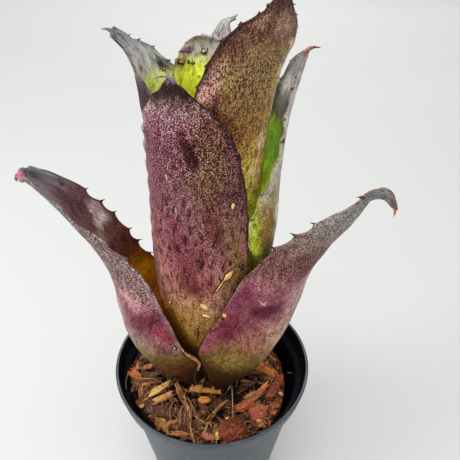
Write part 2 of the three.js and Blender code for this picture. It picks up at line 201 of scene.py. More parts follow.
# Leaf stations from base to tip. Columns: direction of the midrib, reach from the plant axis, height,
# half width on the clockwise side, half width on the other side, channel radius, roll of the channel.
STATIONS = {
    "leaf_front": [
        (-113, 9.5, 84, 10, 10, 10, 0),
        (-113, 13, 93, 15, 15, 13, 0),
        (-113, 18.5, 106, 20, 20, 18, 0),
        (-113, 23, 124, 25, 25, 22.5, 0),
        (-113, 25.3, 145, 26.5, 27.2, 25, 0),
        (-113, 25.5, 170, 26, 25.7, 25, 0),
        (-113, 24.8, 195, 25.5, 24.5, 24.5, 0),
        (-113, 25.2, 215, 23.5, 21, 24.5, 0),
        (-114, 25.8, 228, 16.3, 15.5, 24, 0),
        (-115, 25.9, 236.5, 8.2, 6.4, 20, 0),
        (-116.5, 25.8, 240, 3.8, 3, 12, 0),
        (-117, 25.9, 241.6, 1.2, 1.1, 6, 0),
        (-117.5, 26, 242, 0.3, 0.3, 4, 0),
    ],
    "leaf_tall": [
        (-42, 7.6, 88, 8, 8, 8, 0),
        (-42, 11, 97, 12, 12, 11, 0),
        (-42, 15.5, 110, 17, 17, 15.5, 0),
        (-42, 18.3, 130, 20, 19, 17.8, 0),
        (-42, 19.5, 160, 21, 19, 17.5, 0),
        (-42, 19.5, 190, 21, 17, 16.3, 0),
        (-42, 20.3, 215, 26.5, 22, 19.4, 0),
        (-43, 23.7, 235, 24.5, 16, 21.9, 4),
        (-42, 26, 250, 18.4, 20.3, 28.5, -4),
        (-38, 27, 259, 7.5, 12, 26.7, -4),
        (-33, 26, 267.5, 1.2, 1.2, 12, 0),
    ],
    "leaf_right_inner": [
        (15, 9.2, 86, 10, 10, 9.5, 0),
        (15, 12.6, 95, 14, 14, 12.5, 0),
        (15, 17.4, 108, 18, 18, 17, 0),
        (15, 21.8, 128, 22.5, 22, 21.8, 0),
        (15, 25, 153, 21.5, 24.5, 22.8, 0),
        (15, 25.2, 168, 26.5, 25, 26, 0),
        (15, 25.8, 181, 34.2, 24, 26.7, 2),
        (15, 26.8, 195, 28.5, 20, 27, -5),
        (15, 27.2, 211, 17, 13, 22.5, -1),
        (13, 29.2, 226, 13.5, 10, 16.5, 0),
        (12, 32, 237.5, 10, 6.5, 12, 0),
        (11, 34, 243, 2, 2, 8, 0),
    ],
    "leaf_back_left": [
        (175, 8.8, 86, 9.5, 8.5, 9.5, 0),
        (175, 11.5, 95, 13, 12, 12, 0),
        (175, 16.2, 108, 17, 16, 16.5, 0),
        (175, 20.2, 128, 21, 20, 20, 0),
        (175, 22, 160, 23, 22, 21.8, 0),
        (175, 22.6, 190, 24, 22.5, 22.2, 0),
        (175, 23.2, 212, 25, 21, 21.4, 0),
        (176, 24.7, 227, 25, 22.5, 20, -1),
        (177, 25.8, 238, 16, 12.7, 20.7, 1.5),
        (179, 29, 245.4, 7.3, 3.5, 16.5, -1),
        (181, 33, 249.6, 4.6, 3.3, 8, 0),
    ],
    "leaf_back_centre": [
        (85, 7.4, 88, 8, 8, 8, 0),
        (85, 10, 97, 11, 11, 10, 0),
        (85, 13.5, 110, 15, 15, 14, 0),
        (85, 16.8, 130, 18, 18, 16.5, 0),
        (85, 18, 160, 20, 20, 17.5, 0),
        (85, 18.8, 190, 20.5, 20.5, 18.5, 0),
        (85, 20.1, 213, 19.5, 19.5, 19.5, 0),
        (84, 20.6, 228, 16, 19.3, 19.8, 0),
        (83, 22.3, 236, 12, 17.8, 20.4, 0),
        (82, 22.5, 242, 7, 13.2, 19, 0),
        (81, 22.3, 243.5, 4.3, 5.4, 16, 0),
        (78.5, 22.5, 249.2, 1.9, 1.6, 12, 0),
        (71.5, 25.2, 250.6, 0.8, 0.8, 8, 0),
    ],
    "leaf_left_outer": [
        (190, 11.8, 79, 17, 14.3, 11.5, 0),
        (190, 20.5, 87, 24, 22.5, 18, 0),
        (190, 32, 101, 31, 38.5, 22.5, 1.5),
        (190, 40, 118, 31.5, 38, 23.5, 0.5),
        (190, 43, 137, 32, 32.5, 19, -1),
        (190, 44, 154, 22.5, 26, 17, 0),
        (190, 49, 170, 18.5, 20, 14.5, 0.5),
        (190, 56, 184, 15, 13.5, 15, -1.5),
        (190, 63, 195, 10.5, 10, 13, 0),
        (190, 67.8, 200.8, 6.3, 7, 8, 0),
        (190, 70.5, 202.3, 3.6, 4.2, 4.5, 0),
        (190, 72, 201.8, 1.8, 2, 2.5, 0),
    ],
    "leaf_right_outer": [
        (-18, 11.8, 79, 15.5, 16, 11.5, 0),
        (-18, 17, 88, 25.5, 23, 17, 0),
        (-18, 27, 104, 41, 29, 24, -3),
        (-18, 34, 121, 42.5, 29, 23, -8),
        (-18, 38, 140, 39.5, 26, 23, -17.5),
        (-18, 41.5, 157, 36.5, 22, 24, -11),
        (-18, 47, 172, 19.5, 16, 12.5, -21.5),
        (-18, 53.5, 185, 14, 12, 16, -30),
        (-18, 58.7, 196, 7, 7, 13, -30),
        (-18, 62.8, 201.6, 4.8, 4.6, 8, -20),
        (-18, 67, 200.5, 4, 3.4, 6, -12),
        (-18, 69.5, 196.8, 2, 1.8, 4, -8),
    ],
}

# Margins: thorn length, depth of the notches between thorns, height and period of the ruffle,
# then where the thorns stand on the clockwise margin and on the other one
MARGINS = {
    "leaf_front": (0.8, 0.5, 0.5, 8, (0.46, 0.491, 0.524, 0.56, 0.6, 0.65, 0.7),
                   (0.45, 0.48, 0.53, 0.592, 0.635, 0.66, 0.7)),
    "leaf_tall": (1.0, 0.6, 0.3, 11, (0.62, 0.665, 0.721, 0.76, 0.807, 0.844, 0.887, 0.918, 0.95),
                  (0.68, 0.73, 0.79, 0.843, 0.877, 0.915, 0.944)),
    "leaf_right_inner": (1.0, 0.7, 0.4, 9, (0.6, 0.655, 0.707, 0.754, 0.8, 0.839, 0.867, 0.9),
                         (0.62, 0.7, 0.78, 0.85, 0.911)),
    "leaf_back_left": (1.1, 0.5, 0.4, 9, (0.68, 0.72, 0.77, 0.82, 0.867, 0.91),
                       (0.66, 0.7, 0.745, 0.79, 0.837, 0.886, 0.93)),
    "leaf_back_centre": (0.8, 0.4, 0.3, 8, (0.6, 0.66, 0.72, 0.8), (0.6, 0.653, 0.7, 0.743)),
    "leaf_left_outer": (1.45, 1.5, 0.5, 15, (0.426, 0.463, 0.5, 0.557, 0.596, 0.645),
                        (0.494, 0.526, 0.575)),
    "leaf_right_outer": (1.75, 1.4, 0.5, 15, (0.393, 0.472, 0.495, 0.522, 0.568, 0.627, 0.766),
                         (0.3, 0.35, 0.4, 0.45, 0.5, 0.56, 0.62, 0.69)),
}

# Looks of each leaf. outer and inner: (t, colour, grain contrast). washes and inside, laid over these
# two faces: (t, s, length, width, colour, strength). kinds and inner_kind, for the same two faces:
# (t, share of coarse specks, share of wavy lines, strength of dark flecks and of pale dots, which are
# silvery scurf with painted glints). rims: (colour, strength) of each margin. Some colours below are
# painted light and shade, as noted beside them.
LOOKS = {
    "leaf_front": {
        "outer": [
            (0, (60, 34, 12), 20), (0.24, (76, 46, 0), 30), (0.31, (118, 84, 10), 30),
            (0.35, (162, 118, 84), 30), (0.4, (152, 98, 90), 32), (0.44, (144, 90, 92), 34),
            (0.5, (118, 78, 80), 38), (0.6, (106, 66, 70), 44), (0.66, (120, 80, 88), 44),
            (0.7, (138, 108, 110), 36), (0.73, (80, 54, 52), 28), (0.755, (40, 22, 18), 10),
            (0.8, (34, 18, 14), 8), (0.84, (50, 28, 28), 14), (0.88, (120, 96, 112), 20),
            (1, (120, 88, 104), 14),
        ],
        "inner": [(0, (150, 150, 60), 12), (0.6, (120, 110, 60), 16), (1, (96, 84, 86), 22)],
        "washes": [
            (0.57, 0.5, 0.09, 0.42, (104, 74, 54), 0.9), (0.66, 0.74, 0.05, 0.3, (106, 70, 56), 0.9),
            # The dark wash along the s = 1 margin at t 0.6 is partly the leaf's dark maroon and partly
            # painted shade on the side away from the light
            (0.6, 1.0, 0.12, 0.14, (58, 32, 32), 0.85), (0.61, 0.2, 0.036, 0.14, (36, 6, 10), 1.0),
            (0.592, 0.25, 0.02, 0.1, (44, 8, 12), 1.0), (0.636, 0.13, 0.022, 0.09, (70, 28, 30), 0.95),
            (0.47, 0.72, 0.05, 0.24, (124, 88, 66), 0.75), (0.49, 0.4, 0.03, 0.12, (104, 50, 44), 0.7),
            (0.59, -0.45, 0.09, 0.3, (104, 58, 70), 0.75),
            # The pale washes along the s = -1 margin, here and at t 0.37, are partly silvery scurf and
            # partly painted sheen on the lit edge
            (0.53, -0.97, 0.13, 0.14, (176, 156, 160), 0.9),
            (0.395, 0.12, 0.03, 0.28, (104, 42, 34), 0.85), (0.47, 0.5, 0.025, 0.1, (84, 36, 30), 0.85),
            (0.43, 0.12, 0.03, 0.25, (108, 50, 56), 0.85), (0.525, 0.72, 0.03, 0.2, (90, 52, 46), 0.8),
            (0.46, -0.1, 0.05, 0.25, (110, 52, 62), 0.7), (0.74, 0.3, 0.03, 0.3, (98, 80, 80), 0.6),
            (0.37, -0.62, 0.06, 0.26, (206, 150, 134), 0.85),
            (0.43, -0.75, 0.05, 0.14, (176, 132, 132), 0.7),
            (0.395, 0.85, 0.06, 0.25, (112, 86, 44), 0.85), (0.3, 0.75, 0.08, 0.35, (88, 62, 28), 0.7),
            (0.37, -0.95, 0.08, 0.15, (190, 152, 138), 0.7), (0.315, 0.1, 0.05, 0.3, (150, 116, 62), 0.7),
        ],
        "inside": [],
        "kinds": [(0.3, 0.8, 0, 0.3), (0.42, 0.55, 0, 0.95), (0.5, 0.3, 0, 0.9), (0.56, 0, 0, 0.45)],
        "inner_kind": [(0, 0.3, 0, 0.3)],
        # The pale rim on the s = -1 margin is partly silvery scurf and partly painted sheen on the lit
        # edge; the dark rim on the s = 1 margin is partly the dark margin line and partly painted shade
        "rims": (((184, 160, 164), 0.6), ((44, 22, 24), 0.8)),
    },
    "leaf_tall": {
        "outer": [
            # The bright lime up to t 0.48 is painted light that lifts this shaded part of the leaf to the
            # brightness of the lit fold beside it
            (0, (150, 150, 40), 20), (0.48, (230, 226, 66), 26), (0.54, (206, 180, 70), 30),
            (0.58, (190, 160, 66), 40), (0.615, (178, 144, 70), 50), (0.66, (154, 122, 60), 62),
            (0.7, (148, 120, 66), 62), (0.75, (142, 116, 74), 56), (0.8, (128, 94, 66), 36),
            (0.84, (106, 74, 54), 34), (0.89, (92, 62, 50), 30), (0.94, (70, 44, 36), 22),
            (1, (62, 38, 34), 14),
        ],
        "inner": [(0, (150, 160, 60), 12), (0.7, (140, 140, 70), 16), (1, (110, 92, 84), 24)],
        "washes": [
            (0.72, -0.86, 0.035, 0.2, (206, 160, 152), 0.85),
            (0.755, -0.86, 0.03, 0.16, (168, 128, 116), 0.8), (0.7, -0.72, 0.02, 0.1, (150, 88, 92), 0.7),
            # The pale washes from t 0.56 to 0.8, near s 0.1 to 0.56, are painted light: the strip along the
            # leaf's lit s = 1 edge
            (0.82, -1.0, 0.1, 0.14, (64, 38, 32), 0.9), (0.8, 0.56, 0.03, 0.14, (214, 186, 176), 0.9),
            (0.755, 0.46, 0.03, 0.2, (236, 212, 200), 1.0), (0.7, 0.5, 0.035, 0.2, (232, 208, 192), 1.0),
            (0.653, 0.46, 0.03, 0.2, (224, 200, 176), 1.0), (0.61, 0.24, 0.03, 0.2, (214, 186, 150), 1.0),
            (0.56, 0.1, 0.04, 0.2, (206, 176, 128), 0.9), (0.66, -0.66, 0.04, 0.26, (108, 60, 44), 0.8),
            (0.64, -0.4, 0.05, 0.3, (138, 88, 50), 0.8), (0.7, -0.3, 0.04, 0.3, (134, 96, 60), 0.6),
            (0.69, 0.3, 0.08, 0.25, (176, 152, 80), 0.7), (0.92, -0.5, 0.05, 0.5, (72, 44, 38), 0.7),
            (0.87, 0.2, 0.05, 0.5, (150, 120, 98), 0.85), (0.868, -0.6, 0.03, 0.25, (150, 114, 98), 0.8),
            (0.79, 0.35, 0.04, 0.2, (122, 120, 66), 0.5), (0.8, -0.75, 0.03, 0.2, (100, 66, 54), 0.7),
        ],
        "inside": [],
        "kinds": [(0.6, 0.8, 0, 0.6), (0.72, 0.8, 0, 0.5), (0.8, 0.5, 0, 0.3), (0.86, 0.2, 0, 0.3)],
        "inner_kind": [(0, 0.4, 0, 0.2)],
        # The pale rim on the s = 1 margin is painted light on the lit edge
        "rims": (((56, 32, 28), 0.8), ((158, 130, 124), 0.5)),
    },
    "leaf_right_inner": {
        "outer": [
            (0, (96, 86, 20), 14), (0.47, (120, 112, 30), 20), (0.53, (140, 118, 54), 28),
            (0.6, (150, 122, 70), 28), (0.64, (174, 166, 138), 26), (0.7, (192, 188, 178), 22),
            (0.85, (190, 184, 180), 22), (1, (150, 120, 112), 10),
        ],
        # The bright greens of this inner face are the leaf's own colour, raised as painted light for light
        # shining through the blade
        "inner": [
            (0, (130, 150, 40), 10), (0.45, (236, 232, 70), 18), (0.52, (214, 244, 20), 18),
            (0.58, (196, 240, 4), 14), (0.7, (136, 188, 4), 9), (0.745, (124, 168, 14), 9),
            (0.78, (80, 76, 60), 10), (0.82, (92, 86, 82), 12), (0.85, (160, 152, 148), 12),
            (0.9, (108, 104, 106), 10), (0.95, (112, 104, 104), 10), (1, (104, 76, 70), 8),
        ],
        "washes": [
            (0.53, -0.94, 0.09, 0.1, (172, 186, 52), 0.95), (0.53, -0.4, 0.1, 0.2, (228, 232, 222), 0.8),
            (0.66, -1.0, 0.1, 0.05, (190, 196, 90), 0.9),
        ],
        "inside": [
            # The dark wash at t 0.875, s 0.85 is painted shade on the top of this inner face
            (0.66, -1.0, 0.1, 0.05, (190, 200, 80), 0.9), (0.875, 0.85, 0.05, 0.22, (72, 66, 66), 0.85),
            (0.8, 0.9, 0.05, 0.3, (60, 58, 48), 0.8), (0.55, -0.2, 0.2, 0.3, (150, 160, 50), 0.5),
        ],
        "kinds": [(0, 0.8, 0, 0.3)],
        "inner_kind": [(0.7, 0, 0, 0.1), (0.85, 0.2, 0.2, 0.15)],
        "rims": (((120, 116, 104), 0.35), ((96, 76, 66), 0.7)),
    },
    "leaf_back_left": {
        "outer": [
            (0, (100, 80, 40), 12), (0.68, (44, 22, 26), 12), (0.76, (52, 30, 34), 12),
            (0.82, (134, 116, 114), 26), (1, (112, 110, 112), 20),
        ],
        # The bright greens of this inner face are the leaf's own colour, raised as painted light for light
        # shining through the blade
        "inner": [
            (0, (150, 180, 70), 10), (0.68, (206, 230, 90), 16), (0.73, (230, 238, 136), 18),
            (0.77, (190, 188, 182), 12), (0.85, (154, 154, 154), 12), (0.91, (122, 124, 124), 12),
            (1, (92, 98, 100), 10),
        ],
        "washes": [],
        "inside": [
            (0.767, -0.8, 0.03, 0.16, (60, 50, 52), 0.95), (0.79, -0.16, 0.014, 0.1, (124, 90, 56), 0.8),
            (0.752, -0.74, 0.007, 0.05, (170, 150, 90), 0.9),
            (0.72, -0.05, 0.03, 0.3, (110, 140, 50), 0.6),
        ],
        "kinds": [(0, 0.3, 0, 0.3)],
        "inner_kind": [(0, 0.1, 0.3, 0.2)],
        "rims": (((96, 84, 86), 0.6), ((96, 70, 74), 0.7)),
    },
    "leaf_back_centre": {
        "outer": [(0, (140, 150, 60), 10), (0.7, (120, 96, 84), 20), (1, (120, 105, 110), 20)],
        # These inner colours are the leaf's own lime and grey, raised as painted light for light shining
        # through the blade and against the tall leaf's shadow
        "inner": [
            (0, (170, 190, 40), 8), (0.56, (206, 216, 56), 10), (0.62, (228, 238, 70), 9),
            (0.65, (224, 226, 128), 12), (0.68, (214, 208, 174), 12), (0.71, (206, 196, 192), 12),
            (0.78, (184, 176, 178), 12), (0.9, (164, 158, 160), 10), (1, (128, 122, 126), 8),
        ],
        "washes": [],
        "inside": [
            (0.645, 0.85, 0.05, 0.16, (134, 104, 62), 0.7), (0.705, 0.82, 0.02, 0.16, (96, 62, 76), 0.85),
            (0.69, 0.38, 0.012, 0.12, (110, 66, 58), 0.8),
        ],
        "kinds": [(0, 0.3, 0.2, 0.3)],
        "inner_kind": [(0, 0.1, 0.2, 0.15)],
        "rims": (((104, 84, 90), 0.5), ((110, 84, 76), 0.5)),
    },
    "leaf_left_outer": {
        "outer": [
            # The near-black stops at the base, up to t 0.14, are painted shade where the leaf's foot sits
            # deep among the others
            (0, (26, 12, 2), 6), (0.14, (40, 20, 2), 8), (0.2, (84, 52, 6), 18),
            (0.25, (104, 84, 32), 26), (0.3, (138, 112, 98), 30), (0.36, (134, 88, 92), 32),
            (0.43, (126, 90, 90), 34), (0.5, (98, 78, 74), 44), (0.6, (96, 80, 78), 48),
            (0.75, (104, 94, 96), 14), (1, (120, 92, 98), 8),
        ],
        # The bright orange and pinks of this inner face are the leaf's own colour, raised as painted light
        # for light shining through the blade
        "inner": [
            (0, (110, 66, 8), 12), (0.3, (200, 130, 10), 20), (0.37, (244, 174, 22), 22),
            (0.41, (196, 130, 22), 20), (0.44, (110, 62, 36), 14), (0.47, (96, 56, 40), 12),
            (0.52, (112, 74, 66), 18), (0.56, (98, 66, 62), 24), (0.6, (94, 62, 62), 20),
            (0.63, (98, 64, 68), 12), (0.67, (102, 70, 76), 9), (0.72, (110, 92, 98), 10),
            (0.8, (102, 98, 102), 9), (0.88, (96, 94, 98), 8), (0.93, (160, 108, 116), 16),
            (1, (186, 112, 120), 12),
        ],
        "washes": [
            (0.375, 0.74, 0.05, 0.34, (98, 36, 52), 0.95), (0.42, 0.5, 0.04, 0.3, (134, 76, 82), 0.7),
            (0.345, 0.88, 0.02, 0.14, (128, 56, 66), 0.6), (0.33, 0.9, 0.03, 0.2, (132, 52, 66), 0.8),
            (0.35, 0.1, 0.08, 0.26, (158, 136, 138), 0.85), (0.18, 0.6, 0.03, 0.3, (104, 52, 10), 0.6),
            (0.22, 0.2, 0.03, 0.2, (120, 104, 30), 0.7), (0.42, 0.6, 0.03, 0.3, (160, 118, 118), 0.6),
            (0.29, 0.85, 0.03, 0.25, (104, 60, 58), 0.8), (0.28, 0.3, 0.03, 0.3, (138, 124, 92), 0.7),
            (0.4, 0.99, 0.12, 0.04, (176, 150, 158), 0.5),
        ],
        "inside": [
            (0.568, -0.64, 0.024, 0.24, (196, 180, 176), 1.0),
            (0.6, -0.78, 0.022, 0.17, (164, 146, 140), 0.95),
            (0.54, -0.3, 0.03, 0.2, (150, 126, 100), 0.7), (0.7, -0.74, 0.01, 0.1, (60, 46, 56), 0.8),
            (0.66, -0.3, 0.06, 0.3, (70, 46, 50), 0.7),
        ],
        "kinds": [(0.3, 0.5, 0, 0.5), (0.4, 0.2, 0.3, 0.5), (0.46, 0.1, 0.9, 0.3)],
        "inner_kind": [(0.5, 0.5, 0, 0.3), (0.6, 0.2, 0.2, 0.1)],
        "rims": (((60, 38, 36), 0.7), ((120, 96, 100), 0.5)),
    },
    "leaf_right_outer": {
        "outer": [
            # The near-black stops at the base, up to t 0.15, are painted shade where the leaf's foot sits
            # deep among the others
            (0, (34, 20, 4), 8), (0.15, (64, 46, 12), 18), (0.2, (112, 84, 28), 28),
            (0.25, (136, 96, 52), 30), (0.3, (150, 100, 82), 34), (0.35, (136, 70, 76), 36),
            (0.42, (138, 68, 84), 38), (0.46, (132, 82, 86), 38), (0.5, (86, 52, 46), 34),
            (0.57, (112, 92, 86), 32), (0.65, (120, 111, 107), 30), (0.76, (116, 108, 106), 30),
            (0.82, (104, 102, 102), 16), (0.9, (100, 98, 98), 12), (1, (100, 70, 58), 12),
        ],
        "inner": [(0, (110, 100, 40), 12), (0.6, (90, 70, 60), 20), (1, (106, 98, 98), 24)],
        "washes": [
            (0.385, -0.42, 0.03, 0.28, (86, 26, 42), 0.95), (0.43, -0.86, 0.03, 0.16, (104, 40, 66), 0.7),
            (0.3, -0.98, 0.09, 0.1, (146, 70, 86), 0.85), (0.33, -0.85, 0.05, 0.14, (112, 32, 52), 0.85),
            (0.3, -0.1, 0.1, 0.3, (190, 154, 136), 0.85), (0.42, 0.0, 0.1, 0.3, (178, 138, 136), 0.8),
            (0.22, -0.6, 0.04, 0.3, (126, 108, 50), 0.7), (0.49, -0.85, 0.02, 0.2, (84, 54, 48), 0.6),
        ],
        "inside": [],
        "kinds": [(0.25, 0.8, 0, 0.3), (0.35, 0.4, 0.1, 0.6), (0.46, 0.2, 0.5, 0.4), (0.6, 0.1, 0.8, 0.3)],
        "inner_kind": [(0, 0.2, 0.4, 0.4)],
        "rims": (((120, 84, 86), 0.5), ((96, 66, 62), 0.6)),
    },
}

# Small marks on the outer faces, then on the inner ones: from (t, s) to (t, s), half width, height,
# colour, and whether it has a dark outline
MARKS = {
    "leaf_front": [
        (0.415, 0.72, 0.401, 0.59, 1.3, 0.45, (204, 152, 92), True),
        (0.404, 0.6, 0.381, 0.45, 0.42, 0.35, (196, 148, 92), True),
        (0.517, 0.76, 0.507, 0.735, 0.8, 0.5, (206, 160, 104), True),
        (0.36, 0.22, 0.351, 0.34, 1.2, 0.6, (204, 164, 112), False),
        (0.34, 0.25, 0.337, 0.36, 0.45, 0.4, (206, 180, 130), False),
        (0.375, -0.46, 0.366, -0.44, 0.7, 0.2, (92, 46, 46), False),
        (0.345, -0.33, 0.341, -0.31, 0.7, 0.35, (196, 170, 140), True),
        (0.466, 0.03, 0.452, 0.03, 0.6, 0.16, (48, 16, 22), False),
        (0.45, -0.09, 0.438, -0.11, 0.7, 0.16, (50, 18, 22), False),
        (0.475, 0.5, 0.465, 0.49, 0.7, 0.16, (56, 20, 20), False),
        (0.318, 0.18, 0.272, 0.13, 0.35, 0.2, (44, 24, 8), False),
        (0.555, -0.22, 0.543, -0.22, 0.28, 0.25, (186, 190, 200), False),
        (0.505, -0.1, 0.495, -0.09, 0.3, 0.25, (170, 170, 130), False),
        (0.43, 0.27, 0.418, 0.26, 0.35, 0.15, (60, 22, 24), False),
        (0.487, 0.3, 0.48, 0.31, 0.3, 0.2, (150, 140, 96), False),
    ],
    "leaf_right_outer": [
        (0.427, -0.63, 0.408, -0.5, 0.22, 0.25, (206, 184, 190), False),
        (0.424, -0.53, 0.41, -0.56, 0.16, 0.2, (200, 176, 182), False),
        (0.382, -0.985, 0.376, -0.985, 0.8, 0.7, (224, 150, 80), False),
        (0.37, -0.985, 0.366, -0.985, 0.6, 0.6, (40, 24, 34), False),
    ],
    "leaf_left_outer": [
        (0.43, 0.76, 0.427, 0.78, 0.5, 0.3, (214, 150, 150), True),
        (0.3, 0.93, 0.296, 0.93, 0.6, 0.5, (170, 160, 120), True),
        (0.58, 0.2, 0.565, 0.24, 0.25, 0.25, (190, 180, 180), False),
    ],
    "leaf_right_inner": [
        (0.76, -0.88, 0.748, -0.86, 0.5, 0.3, (110, 84, 70), False),
        (0.45, -0.7, 0.443, -0.69, 0.5, 0.3, (160, 110, 60), False),
    ],
}
INNER_MARKS = {
    "leaf_back_centre": [
        (0.706, 0.8, 0.698, 0.8, 1.0, 0.6, (112, 74, 84), False),
        (0.645, 0.62, 0.637, 0.62, 1.1, 0.6, (178, 158, 96), True),
        (0.642, 0.86, 0.634, 0.86, 1.1, 0.6, (168, 136, 84), True),
        (0.706, 0.4, 0.699, 0.39, 0.9, 0.8, (226, 208, 190), True),
        (0.6, 0.42, 0.596, 0.42, 0.5, 0.35, (196, 206, 110), False),
    ],
    "leaf_back_left": [(0.754, -0.75, 0.749, -0.74, 0.6, 0.4, (176, 158, 96), True)],
    "leaf_left_outer": [(0.603, -0.6, 0.592, -0.56, 0.3, 0.25, (196, 190, 186), False)],
}

# Tip spines as curves through three (direction, reach, height) points, with a radius and end colours
TIPS = {
    "leaf_front": ((-112, 25.9, 240.9), (-117, 26.6, 244), (-126.4, 27.8, 241.6),
                   0.62, (104, 94, 104), (104, 66, 88)),
    "leaf_tall": ((-34, 26, 265), (-33, 26, 268.5), (-31.5, 26.5, 271),
                  1.1, (64, 40, 38), (46, 28, 26)),
    "leaf_right_inner": ((11.1, 33.6, 242.9), (11.4, 35.2, 245.3), (10.3, 38.8, 244.3),
                         1.0, (150, 108, 92), (88, 46, 54)),
    "leaf_back_left": ((180.5, 31.6, 249.3), (180, 33, 251.6), (180, 36.1, 250.9),
                       1.1, (122, 120, 122), (92, 86, 90)),
    "leaf_back_centre": ((75, 24, 250), (72, 25, 250.6), (70, 26.6, 251.8),
                         0.8, (128, 116, 120), (100, 88, 92)),
    "leaf_left_outer": ((191, 71.2, 204), (191.4, 72.3, 203.2), (192, 71.8, 201.6),
                        0.5, (96, 60, 60), (40, 26, 28)),
    "leaf_right_outer": ((-18, 69, 197.6), (-18, 70, 195.6), (-18, 69.6, 192.8),
                         0.95, (170, 96, 60), (240, 128, 62)),
}

# The rolled end of the left outer leaf: three (direction, reach, height) points and its radius
ROLLED_END = ((190.4, 68.1, 205.9), (191.4, 71, 204), (193.2, 68.9, 202.1))
ROLLED_RADIUS = 1.75
ROLL_ABOVE = ((189.6, 67.8, 205), (189.2, 63.4, 203.6), (189.5, 57.8, 200.4))
ROLLED_COLOUR = (80, 78, 84)
ROLLED_PINK = (84, 8, 20)
ROLLED_END_HIGHLIGHT = (24, 40, 30)
ROLL_ABOVE_COLOUR = (82, 84, 86)
ROLL_ABOVE_FADE = (24, 22, 22)

# The folded end of the right outer leaf: three (direction, reach, height) points and its half depth
FOLDED_END = ((-18.4, 58, 196.4), (-18, 65, 205.2), (-18, 68.6, 196.6))
FOLD_DEPTH = 1.7
FOLDED_COLOUR = (112, 104, 102)
FOLDED_PALE = (10, 20, 22)
FOLDED_TIP = (30, 44, 40)

# The dry sheath torn open at the foot of the left outer leaf: (t, s, half width) along its strip
SHEATH = [(0.29, 1.0, 0.1), (0.26, 0.99, 0.45), (0.225, 0.98, 0.75), (0.18, 0.985, 0.8), (0.15, 1.0, 0.2)]
SHEATH_COLOUR = (190, 104, 44)
SHEATH_EDGES = ((1, (170, 132, 96)), (-1, (64, 34, 16)))


def linear(colour):
    """sRGB 0..255 to linear 0..1."""
    c = np.clip(np.asarray(colour, float), 0, 255) / 255
    return np.where(c <= 0.04045, c / 12.92, ((c + 0.055) / 1.055) ** 2.4)


def rgba(colour):
    return (*linear(colour), 1.0)


# Blade geometry


def station(table, t):
    """Smooth rows of values at t in 0..1 along a table of stations."""
    rows = np.asarray(table, float)
    last = len(rows) - 1
    x = np.clip(np.asarray(t, float), 0, 1) * last
    k = np.minimum(x.astype(int), last - 1)
    f = (x - k)[:, None]
    p1 = rows[k]
    p2 = rows[k + 1]
    p0 = np.where((k > 0)[:, None], rows[np.maximum(k - 1, 0)], 2 * p1 - p2)
    p3 = np.where((k + 2 <= last)[:, None], rows[np.minimum(k + 2, last)], 2 * p2 - p1)
    a = -p0 + 3 * p1 - 3 * p2 + p3
    b = 2 * p0 - 5 * p1 + 4 * p2 - p3
    return 0.5 * (2 * p1 + (p2 - p0) * f + b * f * f + a * f * f * f)


def polar(rows):
    """Places from columns of direction, reach from the plant axis and height."""
    a = np.radians(rows[:, 0])
    return np.stack([PLANT_X + rows[:, 1] * np.cos(a), PLANT_Y + rows[:, 1] * np.sin(a), rows[:, 2]], 1)


def unit(v):
    return v / np.maximum(np.linalg.norm(v, axis=-1, keepdims=True), 1e-9)


def lean_on_tube(p):
    """Keeps an outer leaf outside the tube of upright leaves, with a soft transition."""
    d = p[:, :2] - (PLANT_X, PLANT_Y)
    r = np.linalg.norm(d, axis=1)
    wanted = np.interp(p[:, 2], TUBE[:, 0], TUBE[:, 1])
    kept = 0.5 * (r + wanted + np.hypot(r - wanted, TUBE_BLEND))
    out = p.copy()
    out[:, :2] = (PLANT_X, PLANT_Y) + d * (kept / r)[:, None]
    return out


def blade_point(name, t, s):
    """Points on a leaf's middle surface."""
    table = STATIONS[name]
    t = np.asarray(t, float)
    s = np.asarray(s, float)
    rows = station(table, t)
    step = 0.004
    ahead = polar(station(table, np.minimum(1, t + step)))
    behind = polar(station(table, np.maximum(0, t - step)))
    along = unit(ahead - behind)
    a = np.radians(rows[:, 0])
    level = np.stack([-np.sin(a), np.cos(a), 0 * a], 1)
    out = unit(np.cross(level, along))
    side = np.cross(along, out)
    roll = np.radians(rows[:, 6])[:, None]
    out2 = out * np.cos(roll) + side * np.sin(roll)
    side2 = side * np.cos(roll) - out * np.sin(roll)
    arc = np.where(s < 0, s * rows[:, 3], s * rows[:, 4])
    radius = rows[:, 5]
    phi = (arc / radius)[:, None]
    p = polar(rows) + radius[:, None] * (np.sin(phi) * side2 - (1 - np.cos(phi)) * out2)
    return lean_on_tube(p) if name in OUTER_LEAVES else p


def blade_normal(name, t, s):
    dt = 0.006
    ds = 0.03
    up = blade_point(name, np.minimum(1, t + dt), s) - blade_point(name, np.maximum(0, t - dt), s)
    over = blade_point(name, t, np.minimum(1, s + ds)) - blade_point(name, t, np.maximum(-1, s - ds))
    return unit(np.cross(over, up))


def around(r, a, z):
    """Places at radius r, direction a and height z."""
    return np.stack([r * np.cos(a), r * np.sin(a), z + 0 * a], 1)


def notch(t, places):
    """0 at each thorn and 1 midway between two."""
    k = np.interp(t, places, np.arange(len(places)))
    inside = (t > places[0]) & (t < places[-1])
    return np.where(inside, np.sin(np.pi * (k % 1)) ** 0.7, 0)


